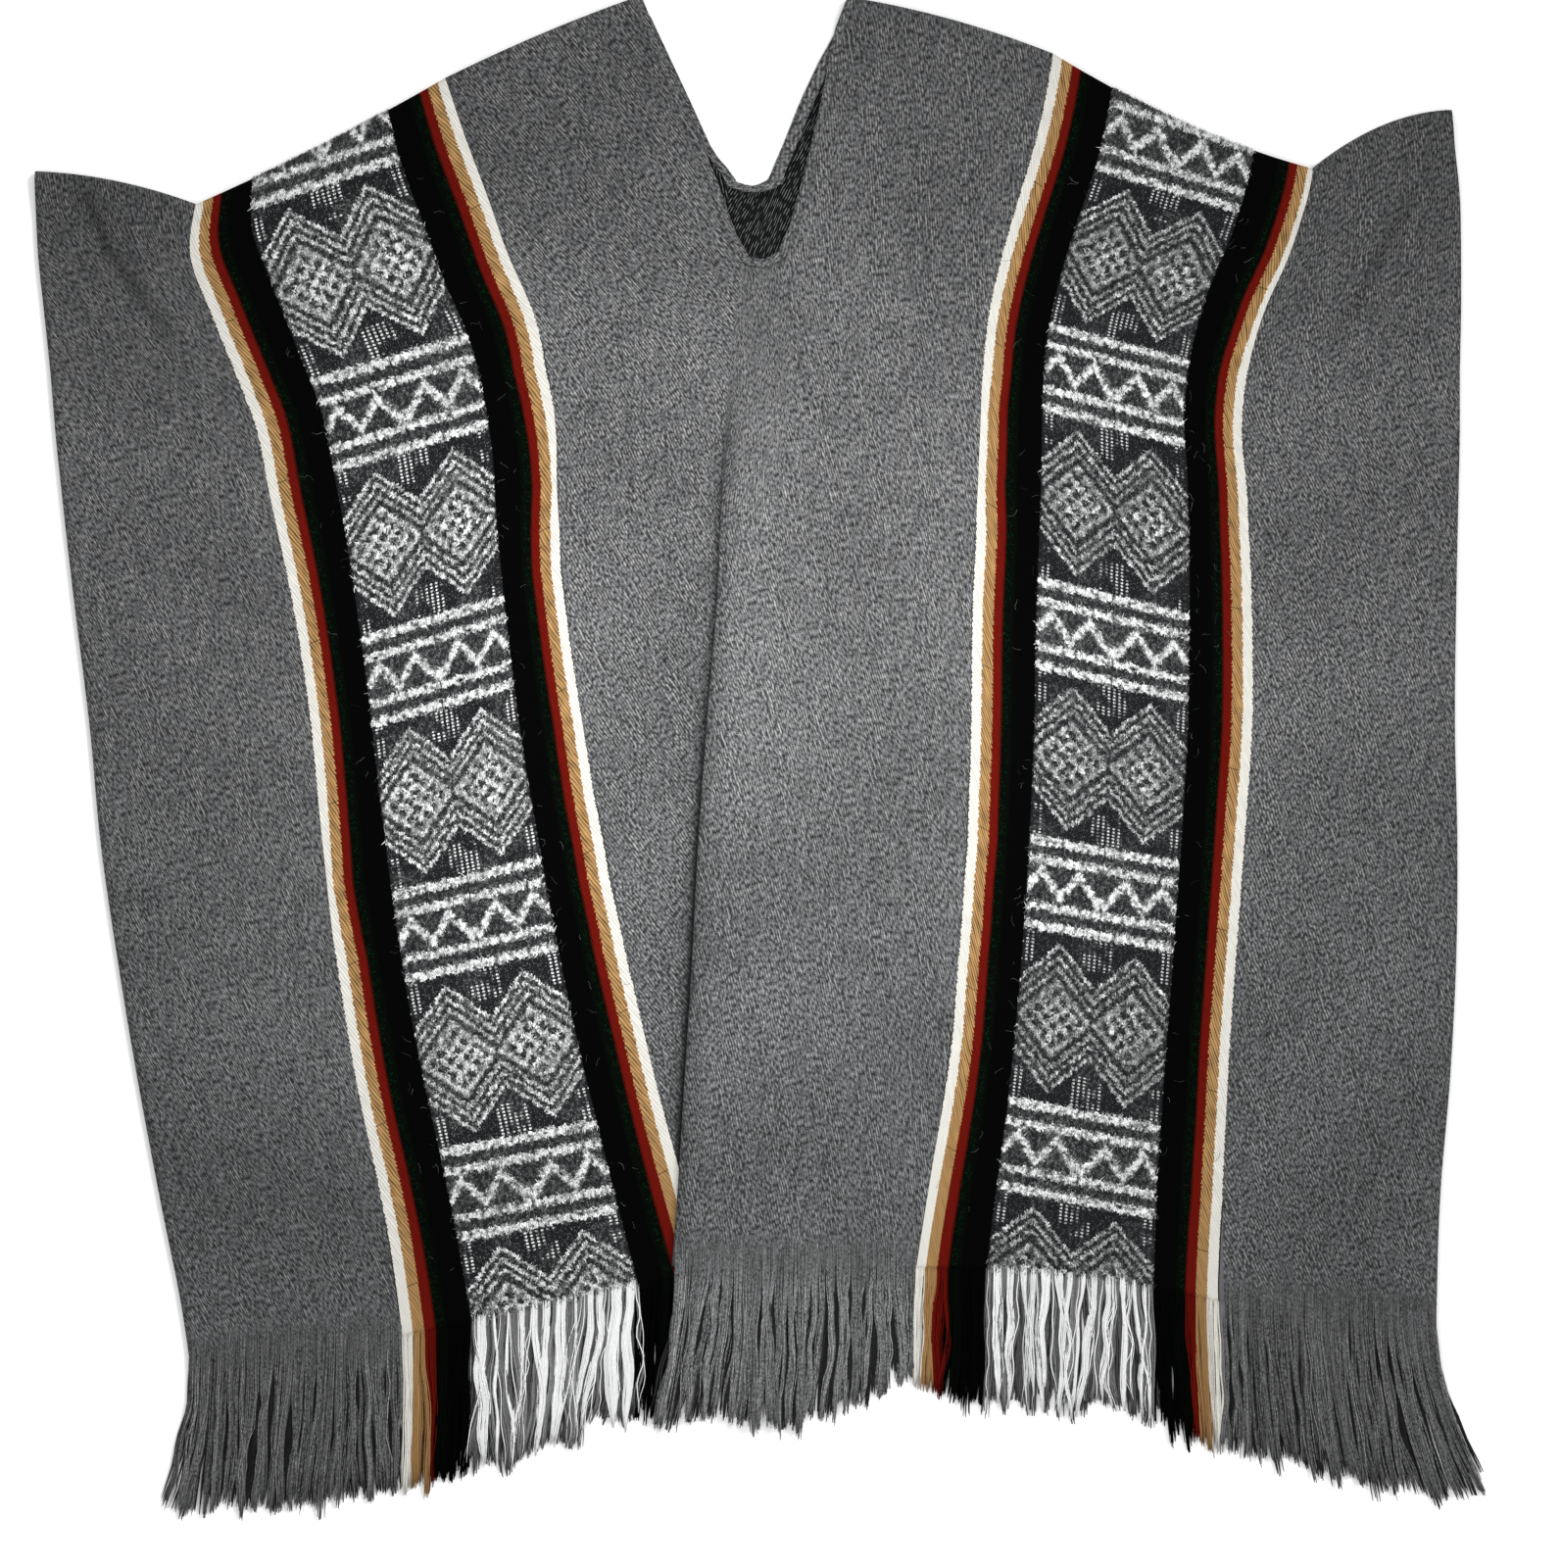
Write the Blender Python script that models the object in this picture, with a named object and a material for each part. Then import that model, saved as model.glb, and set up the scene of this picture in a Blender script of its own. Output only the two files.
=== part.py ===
"""Andean poncho, laid flat and face up.

One woven length lies doubled at the shoulders: the front lies on the back, the fold makes the
top edge, and both warp ends run out in fringe.  The neck is a slit opened into a deep V in front
and a shallower one behind, with a turned hem all round.  The front's spare width lies in one
wedge-shaped pleat that opens below the V and laps over to the left.

+Y runs from the hem to the shoulders, +X to the right of someone looking down on the front, and
z = 0 is the surface that the poncho lies on.  Tables are in millimetres.
"""
import math
import random

import bmesh
import bpy
import numpy as np

MM = 0.001

# ---- cloth ----------------------------------------------------------------------------------
WALL = 2.2              # twill ground
BAND_WALL = 3.0         # patterned band, double-woven and brushed
SEAM = 0.3              # space between neighbouring pieces
TUCK_GAP = 0.36         # the same, along Y, where the slanting ends of front and back meet
FRONT_LIFT = WALL + SEAM    # underside of the front, where it lies on the back

# ---- shoulder fold --------------------------------------------------------------------------
ROLL_RADIUS = 4.2       # outside radius of the doubled edge
ROLL_STEPS = 5
TUCK = 14.0             # how far the front's end runs back in under the fold
SETTLE = 42.0           # distance from the edge at which the front lies down again
SETTLE_STEPS = 3

# ---- rows from the shoulder to the hem -------------------------------------------------------
NECK_ROWS = 5           # rows from the shoulder roll to the bottom of the V
BODY_ROWS = 13          # rows from the bottom of the V to the hem
BACK_ROWS = 7           # the same on the back
NECK_SHARE = 0.19       # share of a warp line's length beside the V
BACK_NECK_DROPS = (TUCK + SEAM, 85.0, 125.0, 139.0)     # rows of the back beside its neck
BACK_NECK_SHARE = 0.155     # share of a warp line's length beside the back's neck

# ---- neck hem -------------------------------------------------------------------------------
HEM_WALL = 2.6
FRONT_HEM_WIDTH = 6.4
HEM_EASE = 0.25         # the hem is this much narrower than its place over the rounded fold
BACK_HEM_WIDTHS = (6.4, 4.6, 10.0)      # left side, bottom, right side
NECK_RISE = 1.0         # the front lies this much higher over the back's hem
NECK_RISE_REACH = 55.0
HEM_CROWN = 0.3         # how much the hem's middle stands over its edges
HEM_CORNER_DROP = 0.6   # share of the bottom hem's width by which its inner corners drop

# ---- pleat ----------------------------------------------------------------------------------
LAP_START = 274.0       # height at which the fold turns over
LAP_AT_HEM = 82.0       # depth of the lap at the hem
LAP_POWER = 1.35
PLEAT_PITCH = 2.9       # one layer to the next
BEND_RADIUS = PLEAT_PITCH / 2
RIDGE_WIDTH = 24.0      # width of the ridge where it leaves the V
SHELF = 8.0             # the top layer runs on level this far past the bends
PLEAT_SETTLE = 36.0     # width over which it then comes down to the right
SETTLE_KNEE = (0.45, 0.65)      # share of that width, and of the height left there
OPENING_ROWS = 2        # rows below the V over which the ridge comes to its own place
BEND_STEPS = 3
UNDER_TRIM = (0.15, 8.0)        # fringe of the pleat's lower layer stops short of the bends
RETURN_TRIM = (6.0, 10.0)

# ---- fringe ---------------------------------------------------------------------------------
STRIP_DEPTH = 5.0
LOCK_ROOT = 2.0         # thickness at the strip and at the tip
LOCK_TIP = 1.3
BACK_LOCK_ROOT = 1.6
FRONT_LOCK_STEPS = 3
BACK_LOCK_STEPS = 2
LOCK_SHARES = (0.87, 0.72, 0.58, 0.34)  # width of a lock over its spacing, root to tip
TIP_SWAY = 0.2          # sideways wander at the tip, in lock spacings
RAGGED = 7.0            # how much lock lengths differ
BACK_INSET = 6.0        # the back's hem lies this far above the front's
BACK_SIDES = {"left_selvedge": 3.0, "right_selvedge": -3.0}     # and its selvedges this far in
BACK_CENTRES = {"left": -44.0, "right": 52.0}   # where its neck's two warp lines reach the hem
BACK_CENTRE_RUN = 500.0                         # height over which they get there

# Warp lines, one row for each height: x of the selvedges, of the two edges of each striped band,
# and of the pleat's crease.
LINES = ("left_selvedge", "left_outer", "left_inner", "crease",
         "right_inner", "right_outer", "right_selvedge")
SECTIONS = (
    # y     left_selvedge left_outer left_inner crease right_inner right_outer right_selvedge
    (619.0, -592.0, -452.0, -276.0, -6.0, 244.0, 462.0, 560.0),
    (554.0, -591.0, -454.0, -256.0, -6.0, 236.0, 458.0, 562.0),
    (506.0, -590.0, -455.0, -240.0, -6.0, 226.0, 454.0, 566.0),
    (458.0, -590.0, -458.0, -222.0, -6.0, 212.0, 447.0, 571.0),
    (410.0, -588.0, -464.0, -205.0, -8.0, 198.0, 432.0, 572.0),
    (362.0, -583.0, -447.0, -184.0, -14.0, 187.0, 411.0, 572.0),
    (314.0, -578.0, -428.0, -172.0, -20.0, 182.0, 398.0, 571.0),
    (266.0, -574.0, -410.0, -166.0, -25.0, 180.0, 394.0, 571.0),
    (218.0, -569.0, -400.0, -165.0, -30.0, 178.0, 398.0, 570.0),
    (122.0, -558.0, -380.0, -157.0, -35.0, 173.0, 402.0, 568.0),
    (26.0, -546.0, -366.0, -144.0, -43.0, 172.0, 402.0, 567.0),
    (-70.0, -537.0, -356.0, -126.0, -50.0, 168.0, 396.0, 569.0),
    (-166.0, -523.0, -345.0, -107.0, -55.0, 162.0, 389.0, 568.0),
    (-262.0, -507.0, -329.0, -87.0, -61.0, 152.0, 382.0, 563.0),
    (-358.0, -489.0, -309.0, -68.0, -67.0, 137.0, 378.0, 555.0),
    (-454.0, -470.0, -294.0, -52.0, -74.0, 122.0, 379.0, 552.0),
    (-510.0, -462.0, -288.0, -44.0, -78.0, 114.0, 381.0, 551.0),
)

# Where each line starts at the shoulder and ends at the hem.
ENDS = {
    # line             shoulder  hem
    "left_selvedge": (478.0, -492.0),
    "left_outer": (451.0, -474.0),
    "left_inner": (554.0, -420.0),
    "crease": (619.0, -414.0),
    "right_inner": (574.0, -419.0),
    "right_outer": (480.0, -447.0),
    "right_selvedge": (528.0, -461.0),
}

# Neck edges from the left shoulder point, round the V, to the right one.
FRONT_NECK = ((-96.0, 619.0), (-49.0, 504.0), (-35.0, 471.0), (-19.0, 426.0), (-8.0, 408.0),
              (4.0, 406.0), (15.0, 412.0), (25.0, 434.0), (34.0, 466.0), (42.0, 498.0),
              (51.0, 537.0), (62.0, 594.0), (72.0, 619.0))
BACK_NECK = ((-96.0, 619.0), (-56.0, 534.0), (-38.0, 494.0), (-26.0, 480.0), (-18.0, 469.0),
             (-5.0, 466.0), (7.0, 471.0), (20.0, 501.0), (33.0, 534.0), (48.0, 566.0),
             (64.0, 595.0), (72.0, 619.0))
NECK_BOTTOM = 4         # index of the V's lower left corner in both tables
NECK_BOTTOM_END = 6     # and of its lower right corner
V_BOTTOM = FRONT_NECK[NECK_BOTTOM + 1]
V_CORNER = FRONT_NECK[NECK_BOTTOM][1]

# Stripes of a band, from its outer edge in: name and share of the band's width.
STRIPES = (("white", 0.041), ("tan", 0.034), ("red", 0.037), ("green", 0.024), ("black", 0.092),
           ("pattern", 0.272), ("pattern", 0.272),
           ("black", 0.092), ("green", 0.024), ("red", 0.037), ("tan", 0.034), ("white", 0.041))
OUTER_SHARE = 0.228     # where the pattern starts and ends
INNER_SHARE = 0.772
STRIPE_EASE = 0.01

# How far the shoulder edge, and the right band's hem, bow up between two warp lines.
BOWS = {"left_panel": 6.0, "left_band": -4.0, "centre_left": 3.0, "centre_right": 5.0,
        "right_band": -10.0, "right_panel": 12.0}
RIGHT_BAND_HEM_BOW = 8.0

# Largest soft folds of the front: two ends of the crest, half width and height.
FOLD_RUN_OUT = 0.15     # a fold runs on past the ends of its crest by this share of its length
FOLDS = (
    # x0    y0     x1    y1     half_width height
    (-540.0, 468.0, -470.0, 352.0, 20.0, 5.0),
    (-505.0, 420.0, -452.0, 300.0, 16.0, 3.0),
    (520.0, 505.0, 480.0, 372.0, 22.0, 5.0),
    (478.0, 480.0, 424.0, 392.0, 16.0, 3.5),
    (-415.0, 300.0, -262.0, 330.0, 26.0, 2.5),
    (192.0, 330.0, 402.0, 286.0, 26.0, 2.5),
    (-130.0, 420.0, -110.0, 40.0, 24.0, 2.2),
    (92.0, 300.0, 70.0, -120.0, 30.0, 2.0),
)

# Fringe of the front: lean sideways and length of the locks rooted at each x.
LEFT_FALL = (
    # x      lean   length
    (-468.0, -26.0, 122.0), (-440.0, -16.0, 126.0), (-380.0, -8.0, 130.0), (-292.0, 2.0, 122.0),
    (-234.0, -2.0, 122.0), (-164.0, -8.0, 118.0), (-100.0, -8.0, 113.0), (20.0, -8.0, 110.0),
)
RIGHT_FALL = (
    (-78.0, -18.0, 134.0), (4.0, -8.0, 134.0), (68.0, -3.0, 123.0), (124.0, -4.0, 97.0),
    (182.0, -2.0, 122.0), (255.0, -3.0, 118.0), (315.0, 5.0, 121.0), (380.0, 6.0, 118.0),
    (468.0, 20.0, 135.0), (552.0, 44.0, 145.0),
)

# Number of locks in each stretch of fringe.
FRONT_LOCKS = {"left_panel": 22, "left_stripes_outer": 7, "left_pattern": 17,
               "left_stripes_inner": 7, "pleat_under": 5, "pleat_return": 7, "centre": 26,
               "right_stripes_inner": 7, "right_pattern": 18, "right_stripes_outer": 7,
               "right_panel": 22}
BACK_LOCKS = {"left_panel": 13, "left_band": 14, "centre": 11, "right_band": 14,
              "right_panel": 13}

COLOURS = {
    # name      linear red, green, blue   roughness
    "grey": ((0.190, 0.195, 0.195), 0.95),
    "white": ((0.780, 0.740, 0.660), 0.90),
    "tan": ((0.480, 0.250, 0.080), 0.90),
    "red": ((0.200, 0.012, 0.006), 0.90),
    "green": ((0.003, 0.020, 0.005), 0.95),
    "black": ((0.002, 0.002, 0.002), 0.95),
    "pattern": ((0.230, 0.230, 0.230), 1.00),
}


# ---- curves ---------------------------------------------------------------------------------
def smooth_curve(at, places, values):
    """Cubic through (places, values), with places rising."""
    places = np.asarray(places, float)
    values = np.asarray(values, float)
    slopes = np.gradient(values, places)
    span = np.clip(np.searchsorted(places, at) - 1, 0, len(places) - 2)
    width = places[span + 1] - places[span]
    t = (at - places[span]) / width
    return ((2 * t**3 - 3 * t**2 + 1) * values[span] + (t**3 - 2 * t**2 + t) * width * slopes[span]
            + (3 * t**2 - 2 * t**3) * values[span + 1] + (t**3 - t**2) * width * slopes[span + 1])


SECTION_TABLE = np.array(SECTIONS)[::-1]


def line_x(line, y):
    return float(smooth_curve(y, SECTION_TABLE[:, 0], SECTION_TABLE[:, 1 + LINES.index(line)]))


def ease(value):
    value = min(max(value, 0.0), 1.0)
    return value * value * (3 - 2 * value)


def shares_of(widths):
    total = np.concatenate(([0.0], np.cumsum(widths)))
    return total / total[-1]


def neck_side(neck, side):
    """One side of a neck edge, as (x, y) rows from the shoulder down."""
    if side == "left":
        return np.array(neck[:NECK_BOTTOM + 1])
    return np.array(neck[NECK_BOTTOM_END:])[::-1]


def neck_x(neck, side, y, offset=0.0):
    """x of one side of the neck at height y, moved `offset` into the cloth."""
    edge = neck_side(neck, side)[::-1]
    x = float(np.interp(y, edge[:, 1], edge[:, 0]))
    slope = (edge[-1, 0] - edge[0, 0]) / (edge[-1, 1] - edge[0, 1])
    shift = offset * math.hypot(1.0, slope)
    return x - shift if side == "left" else x + shift


# ---- lie of the front -----------------------------------------------------------------------
def neck_distance(x, y):
    """Rough distance from the V: nothing inside it, growing outwards."""
    if y > V_CORNER:
        left = neck_x(FRONT_NECK, "left", y)
        right = neck_x(FRONT_NECK, "right", y)
        return max(left - x, x - right, 0.0)
    return math.hypot(x - V_BOTTOM[0], y - V_CORNER)


def fold_height(x, y):
    """Lift of the soft folds and of the neck hem at a point of the front."""
    lift = NECK_RISE * (1 - ease(neck_distance(x, y) / NECK_RISE_REACH))
    for x0, y0, x1, y1, half_width, height in FOLDS:
        along_x, along_y = x1 - x0, y1 - y0
        length = math.hypot(along_x, along_y)
        share = ((x - x0) * along_x + (y - y0) * along_y) / length**2
        across = abs((x - x0) * along_y - (y - y0) * along_x) / length
        place = (share + FOLD_RUN_OUT) / (1 + 2 * FOLD_RUN_OUT)
        if 0 < place < 1 and across < half_width:
            fade = math.sin(math.pi * place)
            lift += height * fade * 0.5 * (1 + math.cos(math.pi * across / half_width))
    return lift


def roll_rows():
    """Distance in from the edge and middle height of the rows that make the doubled edge."""
    middle = ROLL_RADIUS - WALL / 2
    rows = [(TUCK, WALL / 2)]
    for step in range(ROLL_STEPS + 1):
        angle = math.pi * step / ROLL_STEPS
        rows.append((ROLL_RADIUS - middle * math.sin(angle), ROLL_RADIUS - middle * math.cos(angle)))
    return rows


def settle_rows():
    """Rows that come down from the roll: distance in, and share of the roll's height left."""
    run = SETTLE - ROLL_RADIUS
    return [(ROLL_RADIUS + run * step / SETTLE_STEPS,
             0.5 + 0.5 * math.cos(math.pi * step / SETTLE_STEPS))
            for step in range(1, SETTLE_STEPS + 1)]


ROLL = roll_rows()
SETTLING = settle_rows()
EDGE_ROWS = len(ROLL) + len(SETTLING)
ROWS = EDGE_ROWS + NECK_ROWS + BODY_ROWS
NECK_ROW = EDGE_ROWS + NECK_ROWS - 1        # the row at the bottom of the V
FRONT_NECK_BOTTOM = V_BOTTOM[1] - FRONT_HEM_WIDTH - SEAM


def row_drop(row, length, neck_share):
    """Distance of a row from the shoulder, on a warp line of this length."""
    if row < len(ROLL):
        return ROLL[row][0]
    if row < EDGE_ROWS:
        return SETTLING[row - len(ROLL)][0]
    rest = length - SETTLE
    neck_length = neck_share * length - SETTLE
    if row <= NECK_ROW:
        return SETTLE + neck_length * (row - EDGE_ROWS + 1) / NECK_ROWS
    return SETTLE + neck_length + (rest - neck_length) * (row - NECK_ROW) / BODY_ROWS


def row_height(row, x, y, wall):
    """Middle height of the front at a point of a row."""
    lying = FRONT_LIFT + wall / 2 + fold_height(x, y)
    if row < len(ROLL):
        return ROLL[row][1]
    if row < EDGE_ROWS:
        top = ROLL[-1][1] + (wall - WALL) / 2
        return lying + (top - lying) * SETTLING[row - len(ROLL)][1]
    return lying


def line_point(line, row):
    top, bottom = ENDS[line]
    y = top - row_drop(row, top - bottom, NECK_SHARE)
    return np.array((line_x(line, y), y))


def neck_point(side, row):
    """Edge of the front's wall beside the V."""
    top, bottom = FRONT_NECK[0][1], FRONT_NECK_BOTTOM
    share = (top - bottom) / (top - ENDS["crease"][1])
    y = top - row_drop(row, top - ENDS["crease"][1], share)
    return np.array((neck_x(FRONT_NECK, side, max(y, V_CORNER), FRONT_HEM_WIDTH + SEAM), y))


# ---- pleat ----------------------------------------------------------------------------------
def pleat_section(x_crease, overlap, lift):
    """Points (x, height over the underlying front) from the lower layer to the upper one.

    `overlap` is the hidden bend's x less the crease's: below 0 the pleat is still a ridge.
    """
    radius = BEND_RADIUS
    crease_x = x_crease + radius + WALL / 2
    hidden_x = crease_x + overlap
    turn = math.pi if overlap >= 0 else 2 * math.atan2(PLEAT_PITCH, -overlap)
    points = []
    for step in range(BEND_STEPS + 1):          # hidden bend, turning up and back
        angle = turn * step / BEND_STEPS
        points.append((hidden_x + radius * math.sin(angle), radius - radius * math.cos(angle)))
    for step in range(BEND_STEPS + 1):          # crease, turning up and over
        angle = turn * (1 - step / BEND_STEPS)
        points.append((crease_x - radius * math.sin(angle), 3 * radius + radius * math.cos(angle)))
    over = max(hidden_x, crease_x) + radius + SHELF
    knee_share, knee_height = SETTLE_KNEE
    points.append((over, 4 * radius))
    points.append((over + knee_share * PLEAT_SETTLE, 4 * radius * knee_height))
    points.append((over + PLEAT_SETTLE, 0.0))
    return [(x, height * lift) for x, height in points]


def pleat_row(row):
    """Pleat points (x, y, height) on a row at or below the V."""
    share = (row - NECK_ROW) / BODY_ROWS
    y = FRONT_NECK_BOTTOM + (ENDS["crease"][1] - FRONT_NECK_BOTTOM) * share
    if y > LAP_START:
        ridge = ease((FRONT_NECK_BOTTOM - y) / (FRONT_NECK_BOTTOM - LAP_START))
        overlap = -RIDGE_WIDTH + (RIDGE_WIDTH - 2 * PLEAT_PITCH) * ridge
    else:
        ridge = 1.0
        depth = ((LAP_START - y) / (LAP_START - ENDS["crease"][1])) ** LAP_POWER * LAP_AT_HEM
        overlap = depth - 2 * PLEAT_PITCH
    section = pleat_section(line_x("crease", y), overlap, ridge)
    left = neck_point("left", NECK_ROW)[0]
    right = neck_point("right", NECK_ROW)[0]
    open_share = ease(share * BODY_ROWS / OPENING_ROWS)
    points = []
    for index, (x, height) in enumerate(section):
        flat_x = left + (right - left) * index / (len(section) - 1)
        points.append((flat_x + (x - flat_x) * open_share, y, height))
    return points


# ---- walls ----------------------------------------------------------------------------------
def wall_mesh(name, grid, walls, present, materials, column_material, floor=None):
    """A closed wall round a grid of middle points (rows, columns, xyz).

    `walls` is the thickness at each point and `present` says which cells exist.
    """
    rows, columns = grid.shape[:2]
    offsets = np.zeros_like(grid)
    for row in range(rows):
        for column in range(columns):
            total = np.zeros(3)
            count = 0
            for r in (row - 1, row):
                for c in (column - 1, column):
                    if 0 <= r < rows - 1 and 0 <= c < columns - 1 and present[r, c]:
                        down = grid[r + 1, c] + grid[r + 1, c + 1] - grid[r, c] - grid[r, c + 1]
                        across = grid[r, c + 1] + grid[r + 1, c + 1] - grid[r, c] - grid[r + 1, c]
                        normal = np.cross(down, across)
                        total += normal / np.linalg.norm(normal)
                        count += 1
            if count:
                mean = total / count
                offsets[row, column] = mean / max(float(mean @ mean), 0.5)
    half = offsets * walls[..., None] / 2
    top, under = grid + half, grid - half
    if floor is not None:
        top[..., 2] = np.maximum(top[..., 2], floor)
        under[..., 2] = np.maximum(under[..., 2], floor)

    mesh = bmesh.new()
    made = {}

    def vertex(side, row, column):
        key = (side, row, column)
        if key not in made:
            source = top if side else under
            made[key] = mesh.verts.new(source[row, column] * MM)
        return made[key]

    def face(keys, material):
        mesh.faces.new([vertex(*key) for key in keys]).material_index = material

    def there(row, column):
        return 0 <= row < rows - 1 and 0 <= column < columns - 1 and present[row, column]

    for r in range(rows - 1):
        for c in range(columns - 1):
            if not present[r, c]:
                continue
            material = column_material[c]
            corners = ((r, c), (r + 1, c), (r + 1, c + 1), (r, c + 1))
            face([(1, *key) for key in corners], material)
            face([(0, *key) for key in reversed(corners)], material)
            for (dr, dc), (first, second) in (((0, -1), (0, 1)), ((1, 0), (1, 2)),
                                              ((0, 1), (2, 3)), ((-1, 0), (3, 0))):
                if not there(r + dr, c + dc):
                    a, b = corners[first], corners[second]
                    face([(1, *b), (1, *a), (0, *a), (0, *b)], material)
    return finish(name, mesh, materials)


def finish(name, mesh, materials):
    """Bmesh to a named object with its materials."""
    bmesh.ops.triangulate(mesh, faces=mesh.faces)
    data = bpy.data.meshes.new(name)
    mesh.to_mesh(data)
    mesh.free()
    for material in materials:
        data.materials.append(material)
    made = bpy.data.objects.new(name, data)
    bpy.context.scene.collection.objects.link(made)
    return made


def make_materials():
    made = {}
    for name, (colour, roughness) in COLOURS.items():
        material = bpy.data.materials.new("wool_" + name)
        material.use_nodes = True
        shader = material.node_tree.nodes["Principled BSDF"]
        shader.inputs["Base Color"].default_value = (*colour, 1.0)
        shader.inputs["Roughness"].default_value = roughness
        made[name] = material
    return made


# ---- the two halves of the cloth ------------------------------------------------------------
BAND_SHARES = shares_of([share for _, share in STRIPES])
PANEL_SHARES = np.linspace(0, 1, 7)
CENTRE_LEFT_SHARES = np.linspace(0, 1, 5)
CENTRE_RIGHT_SHARES = np.linspace(0, 1, 6)
BELOW_NECK_SHARES = np.linspace(0, 1, 3)


def band_names(mirrored):
    names = [name for name, _ in STRIPES]
    return names[::-1] if mirrored else names


def band_walls(shares):
    """Wall at each edge between stripes: thicker over the pattern."""
    return [BAND_WALL if OUTER_SHARE - STRIPE_EASE < share < INNER_SHARE + STRIPE_EASE else WALL
            for share in shares]


def add_block(columns, left, right, shares, names, walls, bow_top=0.0, bow_hem=0.0):
    """Columns between two warp lines; the block's first column is left out if it's there."""
    rows = len(left)
    start = 1 if columns else 0
    for index in range(start, len(shares)):
        share = shares[index]
        bow = 4 * share * (1 - share)
        points = []
        for row in range(rows):
            point = left[row] * (1 - share) + right[row] * share
            down = row / (rows - 1)
            point = point + np.array((0.0, bow * (bow_top * (1 - down)**2 + bow_hem * down**2)))
            points.append(point)
        name = names[index - 1] if index else names[0]
        columns.append({"points": points, "wall": walls[index], "name": name})


def add_left_half(columns, lines, centre, walls):
    """Left panel, left band and centre, up to the warp line `centre`."""
    plain = [WALL] * len(BAND_SHARES)
    greys = ["grey"] * len(STRIPES)
    add_block(columns, lines["left_selvedge"], lines["left_outer"], PANEL_SHARES, greys, plain,
              BOWS["left_panel"])
    add_block(columns, lines["left_outer"], lines["left_inner"], BAND_SHARES, band_names(False),
              walls, BOWS["left_band"])
    add_block(columns, lines["left_inner"], centre, CENTRE_LEFT_SHARES, greys, plain,
              BOWS["centre_left"])


def add_right_half(columns, lines, centre, walls):
    """Centre from the warp line `centre` on, right band and right panel."""
    plain = [WALL] * len(BAND_SHARES)
    greys = ["grey"] * len(STRIPES)
    add_block(columns, centre, lines["right_inner"], CENTRE_RIGHT_SHARES, greys, plain,
              BOWS["centre_right"])
    add_block(columns, lines["right_inner"], lines["right_outer"], (1 - BAND_SHARES)[::-1],
              band_names(True), walls, BOWS["right_band"], RIGHT_BAND_HEM_BOW)
    add_block(columns, lines["right_outer"], lines["right_selvedge"], PANEL_SHARES, greys, plain,
              BOWS["right_panel"])


def make_front(materials):
    """The front: panel, band, centre with its pleat, band, panel."""
    rows = range(ROWS)
    lines = {line: [line_point(line, row) for row in rows] for line in LINES}
    pleat = {row: pleat_row(row) for row in rows if row >= NECK_ROW}
    first = [neck_point("left", row) if row < NECK_ROW else np.array(pleat[row][0][:2])
             for row in rows]
    last = [neck_point("right", row) if row < NECK_ROW else np.array(pleat[row][-1][:2])
            for row in rows]
    columns = []
    add_left_half(columns, lines, first, band_walls(BAND_SHARES))
    pleat_start = len(columns) - 1
    pleat_size = len(pleat[NECK_ROW])
    for index in range(1, pleat_size - 1):
        points = [np.array(pleat[max(row, NECK_ROW)][index][:2]) for row in rows]
        columns.append({"points": points, "wall": WALL, "name": "grey"})
    columns.append({"points": last, "wall": WALL, "name": "grey"})
    add_right_half(columns, lines, last, band_walls(BAND_SHARES[::-1]))

    grid = np.zeros((ROWS, len(columns), 3))
    walls = np.zeros((ROWS, len(columns)))
    for c, column in enumerate(columns):
        for row in rows:
            x, y = column["points"][row]
            wall = WALL if row <= len(ROLL) else column["wall"]
            height = row_height(row, x, y, wall)
            if pleat_start <= c < pleat_start + pleat_size and row >= NECK_ROW:
                height += pleat[row][c - pleat_start][2]
            grid[row, c] = (x, y, height)
            walls[row, c] = wall
    present = np.ones((ROWS - 1, len(columns) - 1), bool)
    present[:NECK_ROW, pleat_start:pleat_start + pleat_size - 1] = False
    names = list(COLOURS)
    column_material = [names.index(column["name"]) for column in columns[1:]]
    wall_mesh("cloth_front", grid, walls, present, [materials[name] for name in names],
              column_material, floor=0.0)
    return grid, pleat_start, pleat_size


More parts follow.
